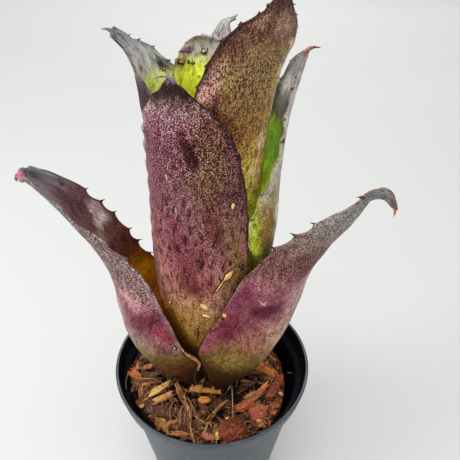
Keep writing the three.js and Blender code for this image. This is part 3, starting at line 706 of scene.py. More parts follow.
class Pieces:
    """Vertices, faces and per-vertex values gathered for one mesh."""

    def __init__(self):
        self.points = []
        self.faces = []
        self.values = []
        self.count = 0

    def add(self, points, quads, caps=(), **values):
        self.points.append(np.asarray(points, float))
        self.faces.extend((np.asarray(quads) + self.count).tolist())
        self.faces.extend([(np.asarray(cap) + self.count).tolist() for cap in caps])
        self.values.append((len(points), values))
        self.count += len(points)

    def mesh(self, name, names, smooth=True):
        """Builds the mesh, storing each named value with its number of components."""
        mesh = bpy.data.meshes.new(name)
        mesh.from_pydata((np.concatenate(self.points) * MM).tolist(), [], self.faces)
        for key, size in names.items():
            kind, field = {3: ("FLOAT_VECTOR", "vector"), 4: ("FLOAT_COLOR", "color")}[size]
            data = []
            for n, values in self.values:
                data.append(np.broadcast_to(np.asarray(values[key], float).reshape(-1, size), (n, size)))
            mesh.attributes.new(key, kind, "POINT").data.foreach_set(field, np.concatenate(data).ravel())
        work = bmesh.new()
        work.from_mesh(mesh)
        bmesh.ops.recalc_face_normals(work, faces=work.faces)
        work.to_mesh(mesh)
        work.free()
        mesh.polygons.foreach_set("use_smooth", [smooth] * len(mesh.polygons))
        mesh.update()
        return mesh


def ring_quads(rows, sides):
    """Quads joining rows of closed rings."""
    i = np.arange(rows - 1)[:, None] * sides
    j = np.arange(sides)[None, :]
    k = (j + 1) % sides
    return np.stack([i + j, i + k, i + sides + k, i + sides + j], 2).reshape(-1, 4)


def ring_caps(rows, sides):
    return [np.arange(sides), (rows - 1) * sides + np.arange(sides)]


def strip(points, ups, widths, heights, sides=8):
    """A closed band along points with a rounded section: half widths across, half heights along ups."""
    ahead = unit(np.gradient(points, axis=0))
    over = unit(np.cross(ahead, ups))
    rise = np.cross(over, ahead)
    turn = np.linspace(0, 2 * np.pi, sides, endpoint=False)[None, :, None]
    ring = np.cos(turn) * over[:, None] * np.reshape(widths, (-1, 1, 1))
    ring = ring + np.sin(turn) * rise[:, None] * np.reshape(heights, (-1, 1, 1))
    verts = (points[:, None] + ring).reshape(-1, 3)
    return verts, ring_quads(len(points), sides), ring_caps(len(points), sides)


def bend(a, b, c, count):
    """Points on the curve from a to c that b pulls on."""
    f = np.linspace(0, 1, count)[:, None]
    a, b, c = (np.asarray(point, float) for point in (a, b, c))
    return (1 - f) ** 2 * a + 2 * f * (1 - f) * b + f * f * c


def wobble(t, s, seed):
    """Slow uneven variation over a blade, about -1 to 1."""
    value = np.zeros(len(t))
    random = np.random.default_rng(seed)
    for scale in WOBBLE_SCALES:
        a, b, c = random.uniform(-1, 1, 3)
        value += np.sin(scale * (2.6 * t + a) + 2 * b) * np.cos(scale * (0.7 * s + c) + 3 * a) / 2
    return value


def face_colours(stops, washes, t, s, seed):
    """Colour and grain contrast on one face of a blade."""
    at = [stop[0] for stop in stops]
    where = t + 0.012 * wobble(t * 2, s * 2, seed)
    colour = np.stack([np.interp(where, at, [stop[1][c] for stop in stops]) for c in range(3)], 1)
    for t0, s0, dt, ds, wash, strength in washes:
        d = np.hypot((t - t0) / dt, (s - s0) / ds) + WASH_WANDER * wobble(t * 4, s * 4, seed + 1)
        mask = strength * np.clip(WASH_REACH - d, 0, 1)
        colour += (mask * mask * (3 - 2 * mask))[:, None] * (np.array(wash) - colour)
    return colour, np.interp(t, at, [stop[2] for stop in stops])


def grain_pair(colour, spread, coarse):
    """The dark and the pale of a grain that looks like the colour from afar. Fine grains are
    few and pale on a dark ground, and coarse specks are dark on a pale ground."""
    spread = np.reshape(spread, (-1, 1))
    coarse = np.reshape(coarse, (-1, 1))
    dark = linear(np.maximum(colour - spread * (0.6 + 1.1 * coarse) * GRAIN_TINT, 0.18 * colour))
    pale = linear(colour + spread * (3.6 - 2.5 * coarse))
    share = 0.2 + 0.4 * coarse
    even = linear(colour) / (share * pale + (1 - share) * dark + 1e-4)
    ones = np.ones((len(colour), 1))
    return np.concatenate([dark * even, ones], 1), np.concatenate([pale * even, ones], 1)


def along_leaf(rows, t):
    """Values at t from rows that each start with their own t."""
    at, *columns = zip(*rows)
    return np.stack([np.interp(t, at, column) for column in columns], 1)


def blade_looks(name, t, s, is_outer, seed):
    look = LOOKS[name]
    outer, outer_spread = face_colours(look["outer"], look["washes"], t, s, seed)
    inner, inner_spread = face_colours(look["inner"], look["inside"], t, s, seed + 7)
    colour = np.where(is_outer[:, None], outer, inner)
    spread = np.where(is_outer, outer_spread, inner_spread)
    for side, (rim, strength) in zip((-1, 1), look["rims"]):
        edge = strength * np.clip((s * side - RIM_START) / RIM_FADE, 0, 1)[:, None]
        colour = colour + edge * (np.array(rim) - colour)
        spread = spread * (1 - 0.6 * edge[:, 0])
    kind = np.where(is_outer[:, None], along_leaf(look["kinds"], t), along_leaf(look["inner_kind"], t))
    dark, pale = grain_pair(colour, spread, kind[:, 0])
    return {"dark": dark, "pale": pale, "kind": kind}


def plain_looks(colour, spread, count):
    """Even looks for a small part of a leaf, from one colour or from a colour for each point."""
    rows = np.broadcast_to(np.asarray(colour, float), (count, 3))
    dark, pale = grain_pair(rows, np.full(count, float(spread)), np.zeros(count))
    return {"dark": dark, "pale": pale, "kind": SMALL_KIND}


def blade_ring():
    """Places round one cross section: s, and face as 1 outer, -1 inner, 0 rim."""
    across = np.sin(np.linspace(-1, 1, COLUMNS + 1) * COLUMN_CROWDING) / math.sin(COLUMN_CROWDING)
    s = np.concatenate([across, [1], across[::-1], [-1]])
    face = np.concatenate([np.ones(COLUMNS + 1), [0], -np.ones(COLUMNS + 1), [0]])
    return s, face


def add_blade(parts, name, seed):
    _, depth, ruffle_height, ruffle_period, *margins = MARGINS[name]
    ring_s, ring_face = blade_ring()
    ring = len(ring_s)
    even = np.linspace(0, 1, ROWS + 1)
    rows = 0.5 * even + 0.5 * (1 - (1 - even) ** ROW_CROWDING)
    t = np.repeat(rows, ring)
    s = np.tile(ring_s, ROWS + 1)
    face = np.tile(ring_face, ROWS + 1)
    steps = np.linalg.norm(np.diff(polar(station(STATIONS[name], rows)), axis=0), axis=1)
    run = np.repeat(np.concatenate([[0], np.cumsum(steps)]), ring)
    widths = station(STATIONS[name], t)
    half_width = np.where(s < 0, widths[:, 3], widths[:, 4])
    dip = np.where(s < 0, notch(t, margins[0]), notch(t, margins[1]))
    margin = np.clip((np.abs(s) - MARGIN_START) / MARGIN_WIDTH, 0, 1) ** 2
    s_cut = s * (1 - depth * dip * margin / np.maximum(half_width, 3))
    p = blade_point(name, t, s_cut)
    n = blade_normal(name, t, s_cut)
    taper = np.clip(np.maximum(np.abs(s) ** 2, np.clip(t - 0.8, 0, 1) * 5), 0, 1)
    half = 0.5 * (MID_THICKNESS + (EDGE_THICKNESS - MID_THICKNESS) * taper)
    ruffle = ruffle_height * np.sin(2 * np.pi * run / ruffle_period + 2 * s + seed) * np.abs(s) ** 6
    ruffle *= np.clip((t - RUFFLE_START) * 5, 0, 1) * np.clip((1 - t) * 8, 0, 1)
    dent = DENT * wobble(t * 2.5, s * 2, seed + 3) * (1 - np.abs(s) ** 4)
    outward = unit(p - blade_point(name, t, s_cut * 0.94))
    p = p + n * (face * half + ruffle + dent)[:, None]
    p = p + outward * np.where(face == 0, 0.6 * half, 0)[:, None]
    is_outer = face >= 0
    blade = np.stack([s * half_width, run, LEAF_OFFSET * seed + FACE_OFFSET * is_outer], 1)
    looks = blade_looks(name, t, s, is_outer, seed)
    parts.add(p, ring_quads(ROWS + 1, ring), ring_caps(ROWS + 1, ring), blade=blade, **looks)


def add_small(parts, points, ups, widths, heights, colour, spread=10, sides=8):
    """A small band on a leaf, with its own colour or a colour for each point."""
    verts, quads, caps = strip(points, ups, widths, heights, sides)
    rows = np.asarray(colour, float)
    if rows.ndim == 2:
        rows = np.repeat(rows, sides, axis=0)
    parts.add(verts, quads, caps, blade=verts, **plain_looks(rows, spread, len(verts)))


def add_thorns(parts, name):
    length, _, _, _, *margins = MARGINS[name]
    random = np.random.default_rng(len(name))
    count = len(THORN_TAPER)
    f = np.linspace(0, 1, count)[:, None]
    for side, places, (rim, _) in zip((-1.0, 1.0), margins, LOOKS[name]["rims"]):
        places = np.array(places)
        edge = np.full(len(places), side)
        here = blade_point(name, places, edge)
        away = unit(here - blade_point(name, places, edge * 0.9))
        along = unit(blade_point(name, places + 0.004, edge) - blade_point(name, places - 0.004, edge))
        up = blade_normal(name, places, edge * 0.97)
        away = unit(away + THORN_FLARE.get(name, 0) * up)
        colour = np.array(rim) * (1 - f) ** 2 * 0.8 + np.array(THORN_COLOUR) * (1 - (1 - f) ** 2)
        for p, a, l, n in zip(here, away, along, up):
            size = length * random.uniform(0.8, 1.15)
            points = bend(p - THORN_ROOT * a, p + 0.75 * size * a, p + size * (a + THORN_LEAN * l), count)
            add_small(parts, points, n, 0.4 * size * THORN_TAPER, 0.24 * size * THORN_TAPER, colour)


def add_tip(parts, name):
    *places, radius, root_colour, end_colour = TIPS[name]
    points = bend(*polar(np.array(places, float)), TIP_POINTS)
    f = np.linspace(0, 1, TIP_POINTS)
    radii = radius * (1 - f) ** 0.8 + 0.06
    colour = np.array(root_colour) + f[:, None] * (np.array(end_colour) - np.array(root_colour))
    add_small(parts, points, TIP_UP, radii, 0.8 * radii, colour, 12, 10)


def add_mark(parts, name, mark, side):
    """A scar, drop or spot lying on one face, with a darker rim round it where asked."""
    t0, s0, t1, s1, width, height, colour, outlined = mark
    f = np.linspace(0, 1, MARK_POINTS)
    random = np.random.default_rng(int(1000 * t0))
    t = t0 + f * (t1 - t0)
    s = s0 + f * (s1 - s0) + random.uniform(-0.006, 0.006, MARK_POINTS)
    up = side * blade_normal(name, t, s)
    points = blade_point(name, t, s) + 0.5 * (EDGE_THICKNESS + MID_THICKNESS) / 2 * up
    swell = np.sqrt(np.clip(1 - (2 * f - 1) ** 2, 0.02, 1)) * random.uniform(0.8, 1.2, MARK_POINTS)
    if outlined:
        # The dark rim round a raised mark is painted shadow along its edge
        dark = 0.22 * np.array(colour)
        add_small(parts, points, up, width * swell + 0.5, 0.3 + 0.3 * height * swell, dark, 4, 10)
    add_small(parts, points, up, width * swell, 0.3 + height * swell, colour, 12, 10)


def add_rolled_end(parts):
    """The blunt rolled end of the left outer leaf, dark above and pink below, with a painted highlight on
    its lower end.
    """
    points = bend(*polar(np.array(ROLLED_END, float)), 16)
    f = np.linspace(0, 1, 16)
    girth = ROLLED_RADIUS * (1 - (2 * f - 1) ** 4) ** 0.5 + 0.1
    pink = np.clip(4 * f - 0.7, 0, 1)[:, None] * ROLLED_PINK
    # The pale added over the lower end is a painted highlight
    tip = np.clip(4 * f - 2.6, 0, 1)[:, None] * ROLLED_END_HIGHLIGHT
    add_small(parts, points, (1.0, 0.2, 0), girth, 0.8 * girth, ROLLED_COLOUR + pink + tip, 7, 12)
    roll = bend(*polar(np.array(ROLL_ABOVE, float)), 20)
    f = np.linspace(0, 1, 20)
    girth = ROLLED_RADIUS * (1 - 0.8 * f) * np.clip(8 * f + 0.5, 0, 1)
    colour = ROLL_ABOVE_COLOUR + f[:, None] * ROLL_ABOVE_FADE
    add_small(parts, roll, (0.2, -0.5, 0.8), girth, 0.6 * girth, colour, 4, 12)


def add_folded_end(parts):
    """The two halves of the right outer leaf's end, pressed together."""
    points = bend(*polar(np.array(FOLDED_END, float)), 24)
    f = np.linspace(0, 1, 24)
    depth = FOLD_DEPTH * (1 - (2 * f - 1) ** 2) ** 0.6 + 0.15
    colour = FOLDED_COLOUR + np.clip(3 * f, 0, 1)[:, None] * FOLDED_PALE
    colour = colour - np.clip(4 * f - 3, 0, 1)[:, None] * FOLDED_TIP
    add_small(parts, points, (0.35, -0.3, 0.85), 0.55, depth, colour, 9, 12)


def add_sheath(parts):
    """The dry torn strip at the foot of the left outer leaf, with a pale ragged edge."""
    name = "leaf_left_outer"
    f = np.linspace(0, 1, 30)
    t, s, width = (np.interp(f, np.linspace(0, 1, len(SHEATH)), column) for column in zip(*SHEATH))
    random = np.random.default_rng(SHEATH_SEED)
    up = blade_normal(name, t, s)
    points = blade_point(name, t, s) + 0.8 * up
    rag = random.uniform(0.7, 1.15, 30)
    add_small(parts, points, up, width * rag, 0.35, SHEATH_COLOUR, 30)
    over = unit(np.cross(up, np.gradient(points, axis=0)))
    for side, colour in SHEATH_EDGES:
        edge = points + side * over * (width * rag)[:, None] + 0.25 * up
        add_small(parts, edge, up, 0.4 * random.uniform(0.3, 1.3, 30), 0.3, colour, 24)


def make_leaf(name, seed):
    parts = Pieces()
    add_blade(parts, name, seed)
    add_thorns(parts, name)
    add_tip(parts, name)
    for mark in MARKS.get(name, []):
        add_mark(parts, name, mark, 1)
    for mark in INNER_MARKS.get(name, []):
        add_mark(parts, name, mark, -1)
    if name == "leaf_left_outer":
        add_rolled_end(parts)
        add_sheath(parts)
    if name == "leaf_right_outer":
        add_folded_end(parts)
    mesh = parts.mesh(name + "_blade", {"dark": 4, "pale": 4, "kind": 3, "blade": 3})
    return place(name + "_blade", mesh, name)


def place(name, mesh, node):
    """Links a mesh as a piece on the root body, standing for a CAD node where one is given."""
    piece = bpy.data.objects.new(name, mesh)
    bpy.context.scene.collection.objects.link(piece)
    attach(piece, "root")
    if node:
        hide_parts(node)
    return piece


# Materials


class Shader:
    """A small helper for writing one node material."""

    def __init__(self, name):
        self.material = bpy.data.materials.new(name)
        self.material.use_nodes = True
        self.tree = self.material.node_tree
        self.surface = self.tree.nodes["Principled BSDF"]

    def node(self, kind, **inputs):
        made = self.tree.nodes.new(kind)
        for key, value in inputs.items():
            self.feed(made.inputs[key.replace("_", " ")], value)
        return made

    def feed(self, socket, value):
        if isinstance(value, bpy.types.NodeSocket):
            self.tree.links.new(value, socket)
        else:
            socket.default_value = value

    def attribute(self, name, out):
        made = self.tree.nodes.new("ShaderNodeAttribute")
        made.attribute_name = name
        return made.outputs[out]

    def position(self):
        return self.tree.nodes.new("ShaderNodeTexCoord").outputs["Object"]

    def stretched(self, vector, by):
        """The vector itself, or each of its parts times its own number."""
        if by is None:
            return vector
        made = self.node("ShaderNodeMapping", Vector=vector)
        made.inputs["Scale"].default_value = by
        return made.outputs["Vector"]

    def noise(self, vector, scale, detail=2.0, rough=0.5, by=None):
        where = self.stretched(vector, by)
        made = self.node("ShaderNodeTexNoise", Vector=where, Scale=scale, Detail=detail, Roughness=rough)
        return made.outputs["Fac"]

    def cells(self, vector, scale, by=None):
        """The distance to the nearest of many scattered points."""
        made = self.node("ShaderNodeTexVoronoi", Vector=self.stretched(vector, by), Scale=scale)
        return made.outputs["Distance"]

    def math(self, operation, a, b=0.0):
        made = self.tree.nodes.new("ShaderNodeMath")
        made.operation = operation
        self.feed(made.inputs[0], a)
        self.feed(made.inputs[1], b)
        return made.outputs[0]

    def times(self, a, b):
        return self.math("MULTIPLY", a, b)

    def plus(self, a, b):
        return self.math("ADD", a, b)

    def band(self, value, low, high, to_low=0.0, to_high=1.0):
        made = self.node("ShaderNodeMapRange", Value=value)
        made.interpolation_type = "SMOOTHSTEP"
        for key, number in (("From Min", low), ("From Max", high), ("To Min", to_low), ("To Max", to_high)):
            made.inputs[key].default_value = number
        return made.outputs["Result"]

    def blend(self, factor, a, b):
        """A straight mix of two numbers."""
        made = self.tree.nodes.new("ShaderNodeMix")
        for key, value in (("Factor", factor), ("A", a), ("B", b)):
            self.feed(made.inputs[key], value)
        return made.outputs["Result"]

    def mix(self, factor, a, b, blend="MIX"):
        """A mix of two colours."""
        made = self.tree.nodes.new("ShaderNodeMix")
        made.data_type = "RGBA"
        made.blend_type = blend
        for key, value in (("Factor", factor), ("A", a), ("B", b)):
            self.feed(made.inputs[key], value)
        return made.outputs["Result"]

    def bump(self, height, strength, distance):
        made = self.node("ShaderNodeBump", Height=height)
        made.inputs["Strength"].default_value = strength
        made.inputs["Distance"].default_value = distance
        return made.outputs["Normal"]

    def finish(self, colour=None, roughness=None, normal=None, **fixed):
        for key, value in (("Base Color", colour), ("Roughness", roughness), ("Normal", normal)):
            if value is not None:
                self.feed(self.surface.inputs[key], value)
        for key, value in fixed.items():
            self.surface.inputs[key.replace("_", " ")].default_value = value
        return self.material


def leaf_mask(m, blade, kind):
    """Where a leaf shows its pale tint: fine grains, ground between coarse specks, or wavy lines."""
    fine = m.band(m.cells(blade, 2.5, (1, 0.85, 1)), 0.46, 0.3)
    crowd = m.times(m.noise(blade, 0.3, 3, 0.65, (1, 0.6, 1)), 0.55)
    specks = m.plus(m.cells(blade, 1.55, (1, 0.8, 1)), crowd)
    thin = m.band(m.noise(blade, 2.0, 3, 0.7), 0.42, 0.58, 0.25)
    coarse = m.times(m.band(specks, 0.62, 0.78), thin)
    ridge = m.math("ABSOLUTE", m.math("SUBTRACT", m.noise(blade, 1.15, 2, 0.6, (1, 0.8, 1)), 0.5))
    lines = m.band(ridge, 0.07, 0.02)
    return m.blend(kind["Y"], m.blend(kind["X"], fine, coarse), lines)


def leaf_shade(m, blade, streaks):
    """Streaks, broad patches and mottling, as a colour to multiply by."""
    shade = m.mix(m.band(streaks, 0.36, 0.64, 0.0, 0.3), (1, 1, 1, 1), STREAK_SHADE)
    patches = m.noise(blade, 0.17, 3, 0.65, (1, 0.7, 1))
    shade = m.mix(m.band(patches, 0.4, 0.66, 0.0, 0.45), shade, PATCH_SHADE)
    mottle = m.noise(blade, 0.42, 4, 0.7, (1, 0.5, 1))
    shade = m.mix(m.band(mottle, 0.42, 0.58, 0.0, 0.6), MOTTLE_PALE, shade)
    return m.mix(m.band(mottle, 0.52, 0.62, 0.0, 0.6), shade, MOTTLE_DARK)


def leaf_material():
    """Each leaf carries a dark and a pale tint, and a mask that its kind sets chooses between them."""
    m = Shader("leaf")
    blade = m.attribute("blade", "Vector")
    kind = m.node("ShaderNodeSeparateXYZ", Vector=m.attribute("kind", "Vector")).outputs
    mask = leaf_mask(m, blade, kind)
    colour = m.mix(mask, m.attribute("dark", "Color"), m.attribute("pale", "Color"))
    streaks = m.noise(blade, 0.9, 3, by=(1.1, 0.06, 1))
    colour = m.mix(1.0, colour, leaf_shade(m, blade, streaks), "MULTIPLY")
    flecks = m.band(m.noise(blade, 0.62, 3, 0.6, (1, 0.36, 1)), 0.56, 0.6)
    colour = m.mix(m.times(flecks, kind["Z"]), colour, rgba(FLECK_COLOUR))
    # Pale dots: partly the leaf's silvery scurf, partly painted glints
    dots = m.band(m.cells(blade, 1.3, (1, 0.8, 1)), 0.3, 0.12)
    sown = m.band(m.noise(blade, 0.55, 2), 0.42, 0.6)
    scurf_and_glints = m.times(m.times(dots, sown), kind["Z"])
    colour = m.mix(m.times(scurf_and_glints, 0.45), colour, rgba(SCURF_AND_GLINT_COLOUR))
    height = m.plus(m.times(mask, 0.45), m.times(streaks, 0.7))
    roughness = m.band(mask, 0.0, 1.0, 0.5, 0.64)
    return m.finish(colour, roughness, m.bump(height, 0.5, 0.0002), Specular_IOR_Level=0.14)


def pot_material(name, gloss, dark, pale):
    m = Shader(name)
    where = m.position()
    cloud = m.noise(where, 60, 4, 0.6)
    fine = m.noise(where, 900, 2, by=(1, 1, 2.5))
    scratch = m.noise(where, 160, 5, 0.7, (1, 1, 7))
    marks = m.times(m.band(scratch, 0.62, 0.7), m.band(cloud, 0.42, 0.62))
    colour = m.mix(m.band(cloud, 0.35, 0.7, 0.0, 0.7), rgba(dark), rgba(pale))
    colour = m.mix(m.times(marks, 0.4), colour, rgba(SCRATCH_COLOUR))
    dust = m.times(m.band(m.cells(where, 260), 0.1, 0.04), m.band(cloud, 0.55, 0.6, 0.0, 0.7))
    colour = m.mix(dust, colour, rgba(DUST_COLOUR))
    roughness = m.band(cloud, 0.3, 0.7, 0.34, 0.5)
    height = m.plus(m.times(fine, 0.4), m.times(scratch, 0.6))
    return m.finish(colour, roughness, m.bump(height, 0.25, 0.0003), Specular_IOR_Level=gloss)


def bark_material():
    """Chips and fibres: each carries its own tint, with grain along it."""
    m = Shader("bark")
    tint = m.attribute("tint", "Color")
    grain = m.noise(m.attribute("grain", "Vector"), 2.1, 4, 0.75, (0.2, 1.7, 1.7))
    speckle = m.noise(m.position(), 800, 3, 0.7)
    colour = m.mix(m.band(grain, 0.38, 0.54, 0.9, 0.0), tint, rgba(BARK_SHADOW))
    colour = m.mix(m.band(speckle, 0.52, 0.7, 0.0, 0.4), colour, rgba(BARK_DUST))
    height = m.plus(grain, m.times(speckle, 0.4))
    return m.finish(colour, 0.7, m.bump(height, 0.9, 0.0007), Specular_IOR_Level=0.3)


def soil_material():
    m = Shader("soil")
    where = m.position()
    lumps = m.noise(where, 260, 4, 0.7)
    threads = m.noise(where, 700, 3, by=(1, 2.5, 1))
    # The soil's near-black colours are partly painted shade for the gaps between chips
    colour = m.mix(m.band(lumps, 0.42, 0.66), *map(rgba, SOIL_TINTS_WITH_GAP_SHADE))
    colour = m.mix(m.band(threads, 0.6, 0.75, 0.0, 0.35), colour, rgba(THREAD_COLOUR))
    return m.finish(colour, 0.85, m.bump(lumps, 1.0, 0.0012), Specular_IOR_Level=0.2)


def stem_material():
    m = Shader("stem")
    fibres = m.noise(m.position(), 900, 3, by=(1, 1, 0.15))
    colour = m.mix(m.band(fibres, 0.35, 0.65), *map(rgba, STEM_TINTS))
    return m.finish(colour, 0.7, m.bump(fibres, 0.5, 0.0004))


def floor_material():
    m = Shader("floor")
    tone = m.noise(m.position(), 1.5, 2)
    colour = m.mix(m.band(tone, 0.3, 0.7), *map(rgba, FLOOR_TINTS))
    return m.finish(colour, 0.7, Specular_IOR_Level=0.2)


# Pot


def wall_inside(z):
    """Radius of the wall's inner face under the collar, at height z."""
    slope = (BODY_TOP_RADIUS - BASE_RADIUS) / SHOULDER
    return BASE_RADIUS + slope * z - WALL


def rounded(profile, cuts=4, reach=0.35):
    """Rounds every inner corner of an open profile with a short arc."""
    points = [np.asarray(profile[0], float)]
    for before, corner, after in zip(profile, profile[1:], profile[2:]):
        before, corner, after = (np.asarray(p, float) for p in (before, corner, after))
        cut = min(reach, 0.4 * np.linalg.norm(corner - before), 0.4 * np.linalg.norm(after - corner))
        a = corner + unit(before - corner) * cut
        b = corner + unit(after - corner) * cut
        points.extend(bend(a, corner, b, cuts))
    points.append(np.asarray(profile[-1], float))
    return np.array(points)


def lathe(profile, segments):
    """A closed ring turned from a loop of (radius, height) rows."""
    turn = np.linspace(0, 2 * np.pi, segments, endpoint=False)
    points = [around(r, turn, z) for r, z in profile]
    count = len(profile) * segments
    return np.concatenate(points), ring_quads(len(profile) + 1, segments) % count


def make_pot():
    profile = rounded([
        (FLOOR_DISC, 0),
        (BASE_RADIUS - FOOT_BEVEL, 0),
        (BASE_RADIUS, FOOT_BEVEL),
        (BODY_TOP_RADIUS, SHOULDER - SHOULDER_BEVEL),
        (COLLAR_FOOT_RADIUS, SHOULDER),
        (RIM_RADIUS - 0.1, POT_HEIGHT - 0.5),
        (RIM_RADIUS - RIM_BEVEL, POT_HEIGHT),
        (RIM_RADIUS - LIP, POT_HEIGHT - 0.1),
        (COLLAR_FOOT_RADIUS - LIP, SHOULDER + COLLAR_STEP),
        (BODY_TOP_RADIUS - WALL, SHOULDER - SHOULDER_BEVEL),
        (wall_inside(POT_FLOOR), POT_FLOOR),
        (FLOOR_DISC, POT_FLOOR),
    ])
    parts = Pieces()
    parts.add(*lathe(profile, POT_SEGMENTS))
    mesh = parts.mesh("pot_shell", {})
    mesh.materials.append(pot_material("pot_plastic", 0.5, *POT_TINTS))
    # Inner wall faces below the rim take the darker copy of the plastic: painted shade inside the pot
    mesh.materials.append(pot_material("pot_inside_shaded", 0.04, *POT_SHADED_INSIDE_TINTS))
    for face in mesh.polygons:
        if face.center.xy.dot(face.normal.xy) < 0 and face.center.z < INSIDE_TOP * MM:
            face.material_index = 1
    return place("pot_shell", mesh, "pot")


def make_pot_floor(material):
    """The pot's floor disc with its drainage holes, inside the wall's foot."""
    circles = [((0, 0), FLOOR_DISC)]
    for i in range(DRAIN_COUNT):
        a = 2 * math.pi * (i + 0.5) / DRAIN_COUNT
        circles.append(((DRAIN_CIRCLE * math.cos(a), DRAIN_CIRCLE * math.sin(a)), DRAIN_RADIUS))
    curve = bpy.data.curves.new("pot_floor", "CURVE")
    curve.dimensions = "2D"
    curve.fill_mode = "BOTH"
    curve.extrude = POT_FLOOR / 2 * MM
    for (x, y), r in circles:
        spline = curve.splines.new("POLY")
        spline.points.add(CIRCLE_POINTS - 1)
        for k, point in enumerate(spline.points):
            a = 2 * math.pi * k / CIRCLE_POINTS
            point.co = ((x + r * math.cos(a)) * MM, (y + r * math.sin(a)) * MM, 0, 1)
        spline.use_cyclic_u = True
    holder = bpy.data.objects.new("pot_floor_curve", curve)
    bpy.context.scene.collection.objects.link(holder)
    bpy.context.view_layer.update()
    mesh = bpy.data.meshes.new_from_object(holder.evaluated_get(bpy.context.evaluated_depsgraph_get()))
    bpy.data.objects.remove(holder)
    mesh.transform(Matrix.Translation((0, 0, POT_FLOOR / 2 * MM)))
    mesh.materials.clear()
    mesh.materials.append(material)
    place("pot_floor", mesh, None)


# Growing medium


def medium_level(x):
    """Height of the medium's top, which falls towards +X."""
    return MEDIUM_CENTRE_Z - MEDIUM_FALL * x / MEDIUM_REACH


def plug_radius(a, z):
    """Edge of the medium: shrunk away from the wall on the right, spread into the collar on the left."""
    shrink = MEDIUM_SHRINK * np.maximum(0, np.cos(a)) ** 2 * np.maximum(0, (z - SHRINK_FROM) / SHRINK_FROM)
    spread = np.where(z > SPREAD_ABOVE, SPREAD * np.maximum(0, -np.cos(a)), 0)
    return wall_inside(z) - MEDIUM_GAP - PLUG_INSET - shrink + spread


def make_plug():
    """The medium's rough mound and its side. Under the collar the mound stays within the narrower wall."""
    turn = np.linspace(0, 2 * np.pi, PLUG_AROUND, endpoint=False)
    random = np.random.default_rng(CHIP_SEED)
    points = []
    for z in (POT_FLOOR + MEDIUM_GAP, *PLUG_LEVELS):
        points.append(around(plug_radius(turn, np.full(PLUG_AROUND, float(z))), turn, z))
    edge = plug_radius(turn, medium_level(MEDIUM_REACH * np.cos(turn)) - 1.5)
    for k in range(PLUG_RINGS):
        f = 1 - k / (PLUG_RINGS - 1) * 0.98
        r = edge * f
        z = medium_level(r * np.cos(turn)) - PLUG_DEPTH
        z = z - PLUG_EDGE_DROP * np.clip((f - 0.93) / 0.07, 0, 1) ** 2
        z = z + random.uniform(*PLUG_ROUGHNESS, PLUG_AROUND)
        r = np.where(z > SHOULDER + 1, r, np.minimum(r, wall_inside(z) - WALL_CLEARANCE))
        points.append(around(r, turn, z))
    parts = Pieces()
    shape = (len(points), PLUG_AROUND)
    parts.add(np.concatenate(points), ring_quads(*shape), ring_caps(*shape))
    mesh = parts.mesh("medium_plug", {})
    mesh.materials.append(soil_material())
    place("medium_plug", mesh, "growing_medium")


# Bark colours, lighter and darker
CHIP_TINTS = [(182, 118, 70), (138, 80, 48), (200, 146, 84), (84, 48, 30), (148, 90, 58), (56, 32, 20),
              (210, 160, 100), (106, 62, 40), (66, 38, 24), (164, 98, 58)]
FIBRE_TINTS = [(196, 146, 92), (140, 84, 50), (96, 52, 34), (210, 168, 118), (120, 66, 40), (176, 100, 56)]

